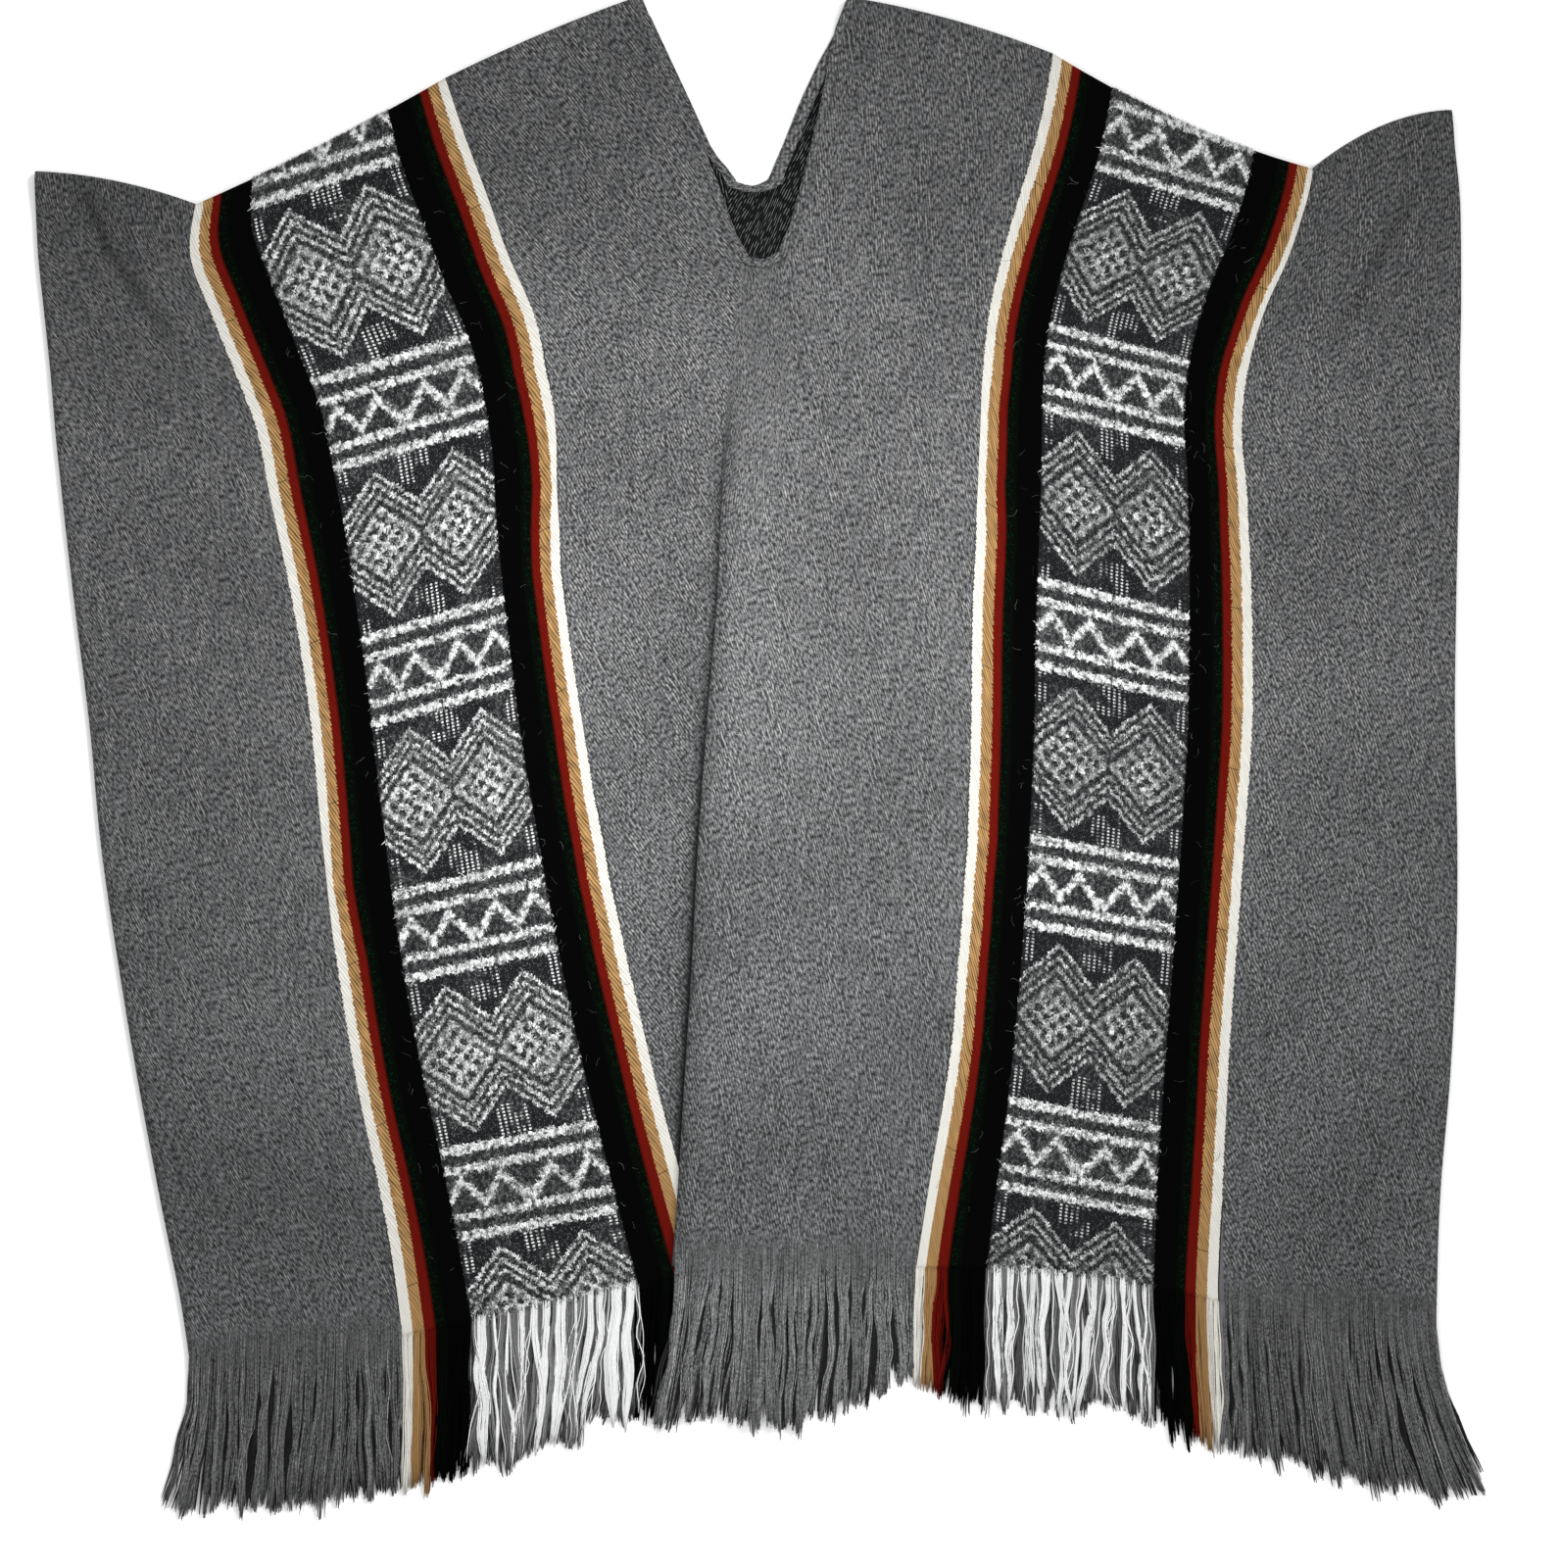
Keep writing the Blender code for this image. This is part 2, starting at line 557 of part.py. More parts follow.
def back_grid():
    """Middle points of the back, which lies flat under the front."""
    def points(line_at, top, bottom, neck_bottom):
        heights = [top - drop for drop in BACK_NECK_DROPS]
        for step in range(BACK_ROWS + 1):
            heights.append(neck_bottom + (bottom - neck_bottom) * step / BACK_ROWS)
        return [np.array((line_at(y), y)) for y in heights]

    def warp_line(line):
        top, bottom = ENDS[line]
        bottom += BACK_INSET
        side = BACK_SIDES.get(line, 0.0)
        neck_bottom = top - BACK_NECK_SHARE * (top - bottom)
        return points(lambda y: line_x(line, y) + side, top, bottom, neck_bottom)

    def neck_line(side):
        top = BACK_NECK[0][1]
        low = BACK_NECK[NECK_BOTTOM + 1][1] - BACK_HEM_WIDTHS[1] - SEAM
        corner = BACK_NECK[NECK_BOTTOM if side == "left" else NECK_BOTTOM_END][1]
        width = BACK_HEM_WIDTHS[0 if side == "left" else 2] + SEAM

        def across(y):
            if y >= corner:
                return neck_x(BACK_NECK, side, y, width)
            start = neck_x(BACK_NECK, side, corner, width)
            return start + (BACK_CENTRES[side] - start) * ease((low - y) / BACK_CENTRE_RUN)
        return points(across, top, ENDS["crease"][1] + BACK_INSET, low)

    left, right = neck_line("left"), neck_line("right")
    lines = {line: warp_line(line) for line in LINES if line != "crease"}
    plain = [WALL] * len(BAND_SHARES)
    columns = []
    add_left_half(columns, lines, left, plain)
    notch = len(columns) - 1
    add_block(columns, left, right, BELOW_NECK_SHARES, ["grey"] * 2, plain)
    add_right_half(columns, lines, right, plain)
    grid = np.array([[(*column["points"][row], WALL / 2) for column in columns]
                     for row in range(len(left))])
    return grid, columns, notch


def tuck_line(front, pleat_start, pleat_size):
    """Height, at any x, of the line where the back meets the front's tucked end."""
    end = np.vstack((front[0, :pleat_start + 1], front[0, pleat_start + pleat_size - 1:]))
    return lambda x: float(np.interp(x, end[:, 0], end[:, 1])) - TUCK_GAP


def make_back(materials, meets):
    """The back; `meets` gives the line at its upper end."""
    grid, columns, notch = back_grid()
    for point in grid[0]:
        point[1] = meets(point[0])
    present = np.ones((grid.shape[0] - 1, grid.shape[1] - 1), bool)
    present[:len(BACK_NECK_DROPS), notch:notch + len(BELOW_NECK_SHARES) - 1] = False
    names = list(COLOURS)
    column_material = [names.index(column["name"]) for column in columns[1:]]
    wall_mesh("cloth_back", grid, np.full(grid.shape[:2], WALL), present,
              [materials[name] for name in names], column_material, floor=0.0)
    return grid


# ---- neck hems ------------------------------------------------------------------------------
def hem_path(neck, widths, levels):
    """Edge and inner points of a turned hem, from shoulder to shoulder.

    `levels` are the heights of its stations on both sides above the V's lower corners; the last
    value returned gives each station's place in `levels`, or None round the bottom.
    """
    corners = {"left": neck[NECK_BOTTOM], "right": neck[NECK_BOTTOM_END]}

    def side_points(side, width):
        edge = [(neck_x(neck, side, y), y) for y in levels]
        inner = [(neck_x(neck, side, y, width), y) for y in levels]
        x, y = corners[side]
        edge.append((x, y))
        inner.append((neck_x(neck, side, y, width), y - HEM_CORNER_DROP * widths[1]))
        return edge, inner, list(range(len(levels))) + [None]

    left_edge, left_inner, places = side_points("left", widths[0])
    right_edge, right_inner, _ = side_points("right", widths[2])
    middle = neck[NECK_BOTTOM + 1]
    edge = left_edge + [middle] + right_edge[::-1]
    inner = left_inner + [(middle[0], middle[1] - widths[1])] + right_inner[::-1]
    return edge, inner, places + [None] + places[::-1]


def make_neck_hems(materials, meets):
    """The turned and stitched edge of the neck, in front and behind."""
    widths = (FRONT_HEM_WIDTH - HEM_EASE,) * 3
    levels = [neck_point("left", row)[1] for row in range(NECK_ROW)]
    edge, inner, row_of = hem_path(FRONT_NECK, widths, levels)
    grid = np.zeros((len(edge), 3, 3))
    for index, row in enumerate(row_of):
        for column, share in enumerate((0.0, 0.5, 1.0)):
            x = edge[index][0] * (1 - share) + inner[index][0] * share
            y = edge[index][1] * (1 - share) + inner[index][1] * share
            at = row if row is not None else EDGE_ROWS
            height = row_height(at, x, y, WALL)
            if at >= len(ROLL):
                height += HEM_CROWN * (column == 1)
            grid[index, column] = (x, y, height)
    walls = np.full(grid.shape[:2], HEM_WALL)
    for index, row in enumerate(row_of):
        if row is not None and row < len(ROLL):
            walls[index] = WALL
    present = np.ones((grid.shape[0] - 1, 2), bool)
    wall_mesh("neck_hem_front", grid[:, ::-1], walls, present, [materials["grey"]], [0, 0],
              floor=0.0)

    levels = [BACK_NECK[0][1] - drop for drop in BACK_NECK_DROPS]
    edge, inner, _ = hem_path(BACK_NECK, BACK_HEM_WIDTHS, levels)
    grid = np.zeros((len(edge), 2, 3))
    for index in range(len(edge)):
        grid[index, 0] = (*edge[index], HEM_WALL / 2)
        grid[index, 1] = (*inner[index], HEM_WALL / 2)
    for point in (grid[0, 1], grid[-1, 1]):
        point[1] = min(point[1], meets(point[0]))
    present = np.ones((grid.shape[0] - 1, 1), bool)
    wall_mesh("neck_hem_back", grid[:, ::-1], np.full(grid.shape[:2], HEM_WALL), present,
              [materials["grey"]], [0], floor=0.0)


# ---- fringe ---------------------------------------------------------------------------------
def path_point(path, share):
    """Point at a share of a polyline's length."""
    steps = np.linalg.norm(np.diff(path, axis=0), axis=1)
    places = np.concatenate(([0.0], np.cumsum(steps)))
    at = share * places[-1]
    return np.array([np.interp(at, places, path[:, axis]) for axis in range(3)])


def make_fringe(name, path, locks, fall, steps, root_wall, materials, colour_at, seed):
    """A strip along the hem with its row of locks.

    `path` is the hem's middle line, `fall` the table of lean and length, and `colour_at` gives a
    lock's colour from its place along the strip.
    """
    rng = random.Random(seed)
    fall = np.array(fall)
    mesh = bmesh.new()
    names = list(COLOURS)
    gap = np.array((0.0, -SEAM, 0.0))
    depth = np.array((0.0, -STRIP_DEPTH, 0.0))
    up = np.array((0.0, 0.0, root_wall / 2))
    tip_up = LOCK_TIP / 2

    def vertex(point):
        return mesh.verts.new(point * MM)

    def face(corners, material):
        mesh.faces.new(corners).material_index = material

    inset = 0.5 * (1 - LOCK_SHARES[0]) / locks
    edges = []
    for lock in range(locks):
        edges.append((lock / locks + inset, (lock + 1) / locks - inset))
    places = [0.0] + [place for pair in edges for place in pair] + [1.0]
    columns = []
    for place in places:
        root = path_point(path, place) + gap
        columns.append([vertex(root + up), vertex(root - up),
                        vertex(root + depth - up), vertex(root + depth + up)])
    colours = [names.index(colour_at((lock + 0.5) / locks)) for lock in range(locks)]
    for index in range(len(columns) - 1):
        a, b = columns[index], columns[index + 1]
        colour = colours[min(max((index - 1) // 2, 0), locks - 1)]
        face((a[0], a[3], b[3], b[0]), colour)              # top
        face((a[1], b[1], b[2], a[2]), colour)              # under
        face((a[0], b[0], b[1], a[1]), colour)              # against the cloth
        if index % 2 == 0:
            face((a[3], a[2], b[2], b[3]), colour)          # between two locks
    face(columns[0], colours[0])
    face(columns[-1], colours[-1])

    for lock in range(locks):
        left, right = columns[1 + 2 * lock], columns[2 + 2 * lock]
        colour = colours[lock]
        middle = (lock + 0.5) / locks
        root = path_point(path, middle) + gap + depth
        spacing = np.linalg.norm(path_point(path, edges[lock][1])
                                 - path_point(path, edges[lock][0])) / LOCK_SHARES[0]
        lean = np.interp(root[0], fall[:, 0], fall[:, 1])
        length = np.interp(root[0], fall[:, 0], fall[:, 2]) - STRIP_DEPTH
        length += rng.uniform(-RAGGED, RAGGED)
        sway = rng.uniform(-TIP_SWAY, TIP_SWAY) * spacing
        ring = [left[3], left[2], right[2], right[3]]
        for step in range(1, steps + 1):
            share = step / steps
            width = spacing * float(np.interp(share * (len(LOCK_SHARES) - 1),
                                              range(len(LOCK_SHARES)), LOCK_SHARES))
            centre = root + np.array((lean * share**1.5 + sway * share**2, -length * share, 0.0))
            tall = root_wall / 2 + (tip_up - root_wall / 2) * share
            corners = [vertex(centre + np.array((side * width / 2, 0.0, high)))
                       for side, high in ((-1, tall), (-1, -tall), (1, -tall), (1, tall))]
            for corner in range(4):
                following = (corner + 1) % 4
                face((ring[corner], corners[corner], corners[following], ring[following]), colour)
            ring = corners
        face(ring, colour)
    bmesh.ops.recalc_face_normals(mesh, faces=mesh.faces)
    finish(name, mesh, [materials[key] for key in names])


def stripe_colour(first, last, mirrored):
    """Colour of a lock by its share of a stretch of the band, from share first to last."""
    def colour_at(share):
        place = first + (last - first) * share
        if mirrored:
            place = 1 - place
        index = min(int(np.searchsorted(BAND_SHARES, place)) - 1, len(STRIPES) - 1)
        name = STRIPES[max(index, 0)][0]
        return "white" if name == "pattern" else name
    return colour_at


def grey(_share):
    return "grey"


def cut_path(points, first, last):
    """The stretch of a polyline between two shares of its length, with its own corners kept."""
    steps = np.linalg.norm(np.diff(points, axis=0), axis=1)
    places = np.concatenate(([0.0], np.cumsum(steps))) / steps.sum()
    inside = points[(places > first + 1e-6) & (places < last - 1e-6)]
    return np.vstack((path_point(points, first), inside, path_point(points, last)))


def trim(points, start, end):
    """A polyline shortened by lengths at its two ends."""
    length = np.linalg.norm(np.diff(points, axis=0), axis=1).sum()
    return cut_path(points, start / length, 1 - end / length)


def make_fringes(materials, front, pleat_start, pleat_size, back):
    hem = front[-1]
    panel, band = len(PANEL_SHARES) - 1, len(STRIPES)
    left_band = hem[panel:panel + band + 1]
    under = hem[panel + band:pleat_start + 1]
    returning = hem[pleat_start + BEND_STEPS:pleat_start + BEND_STEPS + 2][::-1]
    centre_start = pleat_start + 2 * BEND_STEPS + 1
    right_start = pleat_start + pleat_size - 1 + len(CENTRE_RIGHT_SHARES) - 1
    centre = hem[centre_start:right_start + 1]
    right_band = hem[right_start:right_start + band + 1]
    half = SEAM / 2
    plan = (
        # name, path, fall, lock colours
        ("left_panel", trim(hem[:panel + 1], 0, half), LEFT_FALL, grey),
        ("left_stripes_outer", trim(cut_path(left_band, 0, OUTER_SHARE), half, half),
         LEFT_FALL, stripe_colour(0, OUTER_SHARE, False)),
        ("left_pattern", trim(cut_path(left_band, OUTER_SHARE, INNER_SHARE), half, half),
         LEFT_FALL, stripe_colour(OUTER_SHARE, INNER_SHARE, False)),
        ("left_stripes_inner", trim(cut_path(left_band, INNER_SHARE, 1), half, half),
         LEFT_FALL, stripe_colour(INNER_SHARE, 1, False)),
        ("pleat_under", trim(under, *UNDER_TRIM), LEFT_FALL, grey),
        ("pleat_return", trim(returning, *RETURN_TRIM), LEFT_FALL, grey),
        ("centre", trim(centre, 0, half), RIGHT_FALL, grey),
        ("right_stripes_inner", trim(cut_path(right_band, 0, OUTER_SHARE), half, half),
         RIGHT_FALL, stripe_colour(0, OUTER_SHARE, True)),
        ("right_pattern", trim(cut_path(right_band, OUTER_SHARE, INNER_SHARE), half, half),
         RIGHT_FALL, stripe_colour(OUTER_SHARE, INNER_SHARE, True)),
        ("right_stripes_outer", trim(cut_path(right_band, INNER_SHARE, 1), half, half),
         RIGHT_FALL, stripe_colour(INNER_SHARE, 1, True)),
        ("right_panel", trim(hem[right_start + band:], half, 0), RIGHT_FALL, grey),
    )
    for seed, (name, path, fall, colour_at) in enumerate(plan):
        make_fringe("fringe_front_" + name, path, FRONT_LOCKS[name], fall, FRONT_LOCK_STEPS,
                    LOCK_ROOT, materials, colour_at, seed)

    hem = back[-1]
    centre = len(CENTRE_LEFT_SHARES) + len(CENTRE_RIGHT_SHARES)
    stretches = (("left_panel", panel, LEFT_FALL, grey),
                 ("left_band", band, LEFT_FALL, stripe_colour(0, 1, False)),
                 ("centre", centre, RIGHT_FALL, grey),
                 ("right_band", band, RIGHT_FALL, stripe_colour(0, 1, True)),
                 ("right_panel", panel, RIGHT_FALL, grey))
    start = 0
    for place, (name, cells, fall, colour_at) in enumerate(stretches):
        path = trim(hem[start:start + cells + 1], half, half)
        start += cells
        make_fringe("fringe_back_" + name, path, BACK_LOCKS[name], fall, BACK_LOCK_STEPS,
                    BACK_LOCK_ROOT, materials, colour_at, len(plan) + place)


def main():
    for old in list(bpy.data.objects):
        bpy.data.objects.remove(old)
    materials = make_materials()
    front, pleat_start, pleat_size = make_front(materials)
    meets = tuck_line(front, pleat_start, pleat_size)
    back = make_back(materials, meets)
    make_neck_hems(materials, meets)
    make_fringes(materials, front, pleat_start, pleat_size, back)


main()
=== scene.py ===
"""Looks of an Andean poncho laid flat, face up, with its fringe spread.

The cloth is one twill length doubled at the shoulders.  Its front and back are thin shells on the
frame's solids, with warp and weft coordinates that carry the weave, the stripes and the brushed
pattern.  Loose fibres stand on the patterned bands, and every lock of fringe is a bundle of yarn.

Lengths are in millimetres until a mesh is made.
"""
import collections
import math

import bpy
import numpy as np
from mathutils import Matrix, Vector


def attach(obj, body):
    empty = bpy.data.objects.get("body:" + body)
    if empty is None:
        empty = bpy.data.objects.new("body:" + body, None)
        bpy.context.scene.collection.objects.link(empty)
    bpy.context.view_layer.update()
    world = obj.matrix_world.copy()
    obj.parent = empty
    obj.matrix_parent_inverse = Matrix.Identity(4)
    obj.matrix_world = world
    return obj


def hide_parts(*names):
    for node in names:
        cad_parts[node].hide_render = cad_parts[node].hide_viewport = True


MM = 0.001
TINY = 1e-9

# ---- cloth ----------------------------------------------------------------------------------
WALL = 2.2
BAND_WALL = 3.0         # the patterned band, double-woven and brushed
SEAM = 0.3
TUCK_GAP = 0.36
FRONT_LIFT = WALL + SEAM
CUT_WIDTH = 1180.0      # the cloth's width, and its length from the shoulder to either hem

# ---- shoulder fold --------------------------------------------------------------------------
ROLL_RADIUS = 4.2
ROLL_STEPS = 12
TUCK = 14.0             # how far the front's end runs back in under the fold
SETTLE = 42.0           # distance from the edge at which the front lies down again
SETTLE_STEPS = 9

# ---- rows and columns of the shells ------------------------------------------------------------
NECK_ROWS = 24
BODY_ROWS = 132
NECK_SHARE = 0.19
BACK_NECK_ROWS = 14
BACK_ROWS = 60
BACK_NECK_SHARE = 0.155
PANEL_COLUMNS = 29
CENTRE_COLUMNS = 33
BELOW_NECK_COLUMNS = 14
LAYER_COLUMNS = 12      # along each straight layer of the pleat

# ---- neck hem -------------------------------------------------------------------------------
HEM_WALL = 2.6
FRONT_HEM_WIDTH = 6.4
BACK_HEM_WIDTHS = (6.4, 4.6, 10.0)
NECK_RISE = 1.0
NECK_RISE_REACH = 55.0
HEM_CROWN = 0.5
HEM_CORNER_DROP = 0.6
HEM_COLUMNS = 6
CORNER_STEPS = 5        # stations for each step of a hem round the V's bottom

# ---- pleat ----------------------------------------------------------------------------------
LAP_START = 274.0
LAP_AT_HEM = 82.0
LAP_POWER = 1.35
PLEAT_PITCH = 2.9
BEND_RADIUS = PLEAT_PITCH / 2
RIDGE_WIDTH = 24.0
SHELF = 8.0
PLEAT_SETTLE = 36.0
SETTLE_KNEE = (0.45, 0.65)
OPENING_SHARE = 2 / 13
LAP_WEAVE_RUN = 90.0    # length over which the lap's weave parts from the cloth on its left
LAP_SHADE_TOP = 300.0   # where the pleat's edge begins to show, and the painted shade along it
LAP_LINE_RUN = 60.0     # lengths over which its painted line and painted shadow come in
LAP_SHADOW_RUN = 420.0
LAP_LINE = 0.56         # painted shade close by its edge, and more widely beside it
LAP_LINE_WIDTH = 5.2
LAP_SHADOW = 0.46
LAP_SHADOW_WIDTH = 10.0
# painted shade along the pleat's own rolled edge, and its width
ROLL_LINE = 0.38
ROLL_LINE_WIDTH = 10.0
BEND_STEPS = 8

# ---- back, and the warp lines of both halves ----------------------------------------------------
BACK_INSET = 6.0
BACK_SIDES = {"left_selvedge": 3.0, "right_selvedge": -3.0}
BACK_CENTRES = {"left": -44.0, "right": 52.0}
BACK_CENTRE_RUN = 500.0
BACK_ROUND_RUN = 70.0   # length over which the rows under the back's neck straighten

LINES = ("left_selvedge", "left_outer", "left_inner", "crease",
         "right_inner", "right_outer", "right_selvedge")
SECTIONS = (
    # y     left_selvedge left_outer left_inner crease right_inner right_outer right_selvedge
    (619, -592, -452, -276, -6, 244, 462, 560),
    (554, -591, -454, -256, -6, 236, 458, 562),
    (506, -590, -455, -240, -6, 226, 454, 566),
    (458, -590, -458, -222, -6, 212, 447, 571),
    (410, -588, -464, -205, -8, 198, 432, 572),
    (362, -583, -447, -184, -14, 187, 411, 572),
    (314, -578, -428, -172, -20, 182, 398, 571),
    (266, -574, -410, -166, -25, 180, 394, 571),
    (218, -569, -400, -165, -30, 178, 398, 570),
    (122, -558, -380, -157, -35, 173, 402, 568),
    (26, -546, -366, -144, -43, 172, 402, 567),
    (-70, -537, -356, -126, -50, 168, 396, 569),
    (-166, -523, -345, -107, -55, 162, 389, 568),
    (-262, -507, -329, -85, -61, 152, 382, 563),
    (-358, -489, -309, -59, -67, 137, 378, 555),
    (-454, -470, -294, -31, -74, 122, 379, 552),
    (-510, -462, -288, -16, -78, 114, 381, 551),
)
ENDS = {
    # line             shoulder  hem
    "left_selvedge": (478, -492),
    "left_outer": (451, -474),
    "left_inner": (554, -420),
    "crease": (619, -414),
    "right_inner": (574, -419),
    "right_outer": (480, -447),
    "right_selvedge": (528, -461),
}
FRONT_NECK = ((-96, 619), (-49, 504), (-35, 471), (-19, 426), (-8, 408),
              (4, 406), (15, 412), (25, 434), (34, 466), (42, 498),
              (51, 537), (62, 594), (72, 619))
BACK_NECK = ((-96, 619), (-56, 534), (-38, 494), (-26, 480), (-18, 469),
             (-5, 466), (7, 471), (20, 501), (33, 534), (48, 566),
             (64, 595), (72, 619))
NECK_BOTTOM = 4
NECK_BOTTOM_END = 6
V_BOTTOM = FRONT_NECK[NECK_BOTTOM + 1]
V_CORNER = FRONT_NECK[NECK_BOTTOM][1]
FRONT_NECK_BOTTOM = V_BOTTOM[1] - FRONT_HEM_WIDTH - SEAM

# Stripes of a band from either edge in: name, share of the band's width, columns of the shell.
HALF_STRIPES = (("white", 0.036, 2), ("tan", 0.037, 2), ("red", 0.038, 2), ("green", 0.025, 1),
                ("black", 0.092, 4), ("pattern", 0.272, 11))
PATTERN_START = 0.228
BAND_WIDTH = 222.0
SIDE_WIDTH = 172.0      # of the outer panels

# How far the stripes drift into the band (or out of it) along each of its edges.
DRIFT_FULL = 26.0       # distance from the edge up to which they drift in full
DRIFT_END = 48.0
DRIFTS = (
    # y     left_outer left_inner right_inner right_outer
    (410, -1, -1.5, -0.5, -4),
    (346, -0.5, -0.5, -0.5, -3),
    (314, 0, 1, -0.5, -0.5),
    (282, 0, -1, -2.5, 0),
    (250, -0.5, -2.8, -2.2, 0),
    (218, -1, -4.2, -2.5, 0),
    (186, -1, -1, 0, 0.5),
    (154, -0.5, 1, 0.3, 0),
    (26, 0, -1, 0, -0.5),
    (-38, -1, 0.5, 0.5, 0),
    (-70, -2, 0.5, 1.2, 0),
    (-102, -3.6, 1, 0, 0),
    (-134, -2, 0, 0, 0),
    (-166, 0, 0, -0.5, 0),
    (-230, -0.5, -1, 0.7, -0.2),
    (-294, -1, -0.5, 0, -1),
    (-358, -0.2, 0, -1, 0),
    (-390, 0.5, 0, -1.5, 2),
    (-430, 0.5, 0, -1, 4),
)

BOWS = {"left_panel": 6.0, "left_band": -4.0, "centre_left": 3.0, "centre_right": 5.0,
        "right_band": -10.0, "right_panel": 12.0}
RIGHT_BAND_HEM_BOW = 8.0

# Soft folds of the front: two ends of the crest, half width and height.
FOLD_RUN_OUT = 0.15
FOLDS = (
    # x0    y0     x1    y1     half_width height
    (-540, 468, -470, 352, 20, 5),
    (-505, 420, -452, 300, 16, 3),
    (520, 505, 480, 372, 22, 5),
    (478, 480, 424, 392, 16, 3.5),
    (-415, 300, -262, 330, 26, 2.5),
    (192, 330, 402, 286, 26, 2.5),
    (-130, 420, -110, 40, 24, 2.2),
    (92, 300, 70, -120, 30, 2),
)

# Painted shade of soft creases at the shoulders, each from above down.
CREASES = {
    "left_panel": (
        # x      y      width shade
        (-558, 482, 5, 0.10), (-549, 458, 5, 0.46), (-531.5, 416.6, 5.5, 0.54),
        (-500, 367.5, 8, 0.34), (-462, 322, 14, 0)),
    "right_panel": (
        (538, 476, 9, 0), (522, 442, 7.5, 0.32), (502, 403, 7, 0.42),
        (480, 359, 9, 0.28), (453, 314, 14, 0)),
}

# Fringe of the front: lean sideways and length of the locks rooted at each x.
LEFT_FALL = (
    # x      lean   length
    (-468, -17, 122), (-440, -11, 124), (-380, -8, 130), (-292, 2, 124),
    (-234, -2, 120), (-164, -8, 118), (-100, -8, 106), (20, -8, 104),
)
RIGHT_FALL = (
    (-78, -18, 134), (-36, -12, 125), (4, -8, 129), (44, -5, 136),
    (84, -3, 108), (124, -4, 91), (182, -2, 112), (245, -3, 110),
    (285, 1, 101), (330, 5, 116), (380, 6, 120), (420, 11, 127),
    (468, 18, 137), (520, 32, 146), (552, 42, 139),
)

# ---- pattern chart: one repeat, in millimetres across the band and down the warp ----------------
REPEAT = 212.0
# Heights at which a zigzag row crosses the middle of each band, and its slope there.
LEFT_ROWS = ((504, 0.34), (288, 0.30), (78, 0.30), (-133, 0.23), (-345, 0.19))
RIGHT_ROWS = ((495, -0.33), (305, -0.26), (95, -0.24), (-110, -0.17), (-326, -0.19))

# ---- camera ---------------------------------------------------------------------------------
VIEW_CENTRE = (16.8, -21.6)     # what the middle of the frame looks at
VIEW_HEIGHT = 1280.0
CAMERA_HEIGHT = 3000.0
SENSOR = 36.0


# ---- curves ---------------------------------------------------------------------------------
def smooth_curve(at, places, values):
    """Cubic through (places, values), with places rising."""
    places = np.asarray(places, float)
    values = np.asarray(values, float)
    slopes = np.gradient(values, places)
    span = np.clip(np.searchsorted(places, at) - 1, 0, len(places) - 2)
    width = places[span + 1] - places[span]
    t = (at - places[span]) / width
    return ((2 * t**3 - 3 * t**2 + 1) * values[span] + (t**3 - 2 * t**2 + t) * width * slopes[span]
            + (3 * t**2 - 2 * t**3) * values[span + 1] + (t**3 - t**2) * width * slopes[span + 1])


SECTION_TABLE = np.array(SECTIONS)[::-1]


def line_x(line, y):
    return smooth_curve(y, SECTION_TABLE[:, 0], SECTION_TABLE[:, 1 + LINES.index(line)])


def ease(value):
    value = np.clip(value, 0.0, 1.0)
    return value * value * (3 - 2 * value)


def neck_side(neck, side):
    """One side of a neck edge, as (x, y) rows from the shoulder down."""
    if side == "left":
        return np.array(neck[:NECK_BOTTOM + 1])
    return np.array(neck[NECK_BOTTOM_END:])[::-1]


def neck_x(neck, side, y, offset=0.0):
    """x of one side of the neck at height y, moved `offset` into the cloth."""
    edge = neck_side(neck, side)[::-1]
    slope = (edge[-1, 0] - edge[0, 0]) / (edge[-1, 1] - edge[0, 1])
    shift = offset * math.hypot(1.0, slope)
    return np.interp(y, edge[:, 1], edge[:, 0]) + (-shift if side == "left" else shift)


# ---- lie of the front -----------------------------------------------------------------------
def neck_distance(x, y):
    """Rough distance from the V: nothing inside it, growing outwards."""
    beside = np.maximum(neck_x(FRONT_NECK, "left", y) - x, x - neck_x(FRONT_NECK, "right", y))
    below = np.hypot(x - V_BOTTOM[0], y - V_CORNER)
    return np.where(y > V_CORNER, np.maximum(beside, 0.0), below)


def fold_height(x, y):
    """Lift of the soft folds and of the neck hem at points of the front."""
    lift = NECK_RISE * (1 - ease(neck_distance(x, y) / NECK_RISE_REACH))
    for x0, y0, x1, y1, half_width, height in FOLDS:
        along_x, along_y = x1 - x0, y1 - y0
        length = math.hypot(along_x, along_y)
        share = ((x - x0) * along_x + (y - y0) * along_y) / length**2
        across = np.abs((x - x0) * along_y - (y - y0) * along_x) / length
        place = np.clip((share + FOLD_RUN_OUT) / (1 + 2 * FOLD_RUN_OUT), 0, 1)
        fade = np.sin(math.pi * place)
        lift = lift + height * fade * 0.5 * (1 + np.cos(math.pi * np.minimum(across / half_width, 1)))
    return lift


def roll_rows():
    """Distance in from the edge and middle height of the rows that make the doubled edge."""
    middle = ROLL_RADIUS - WALL / 2
    angles = math.pi * np.arange(ROLL_STEPS + 1) / ROLL_STEPS
    drops = np.concatenate(([TUCK], ROLL_RADIUS - middle * np.sin(angles)))
    heights = np.concatenate(([WALL / 2], ROLL_RADIUS - middle * np.cos(angles)))
    return drops, heights


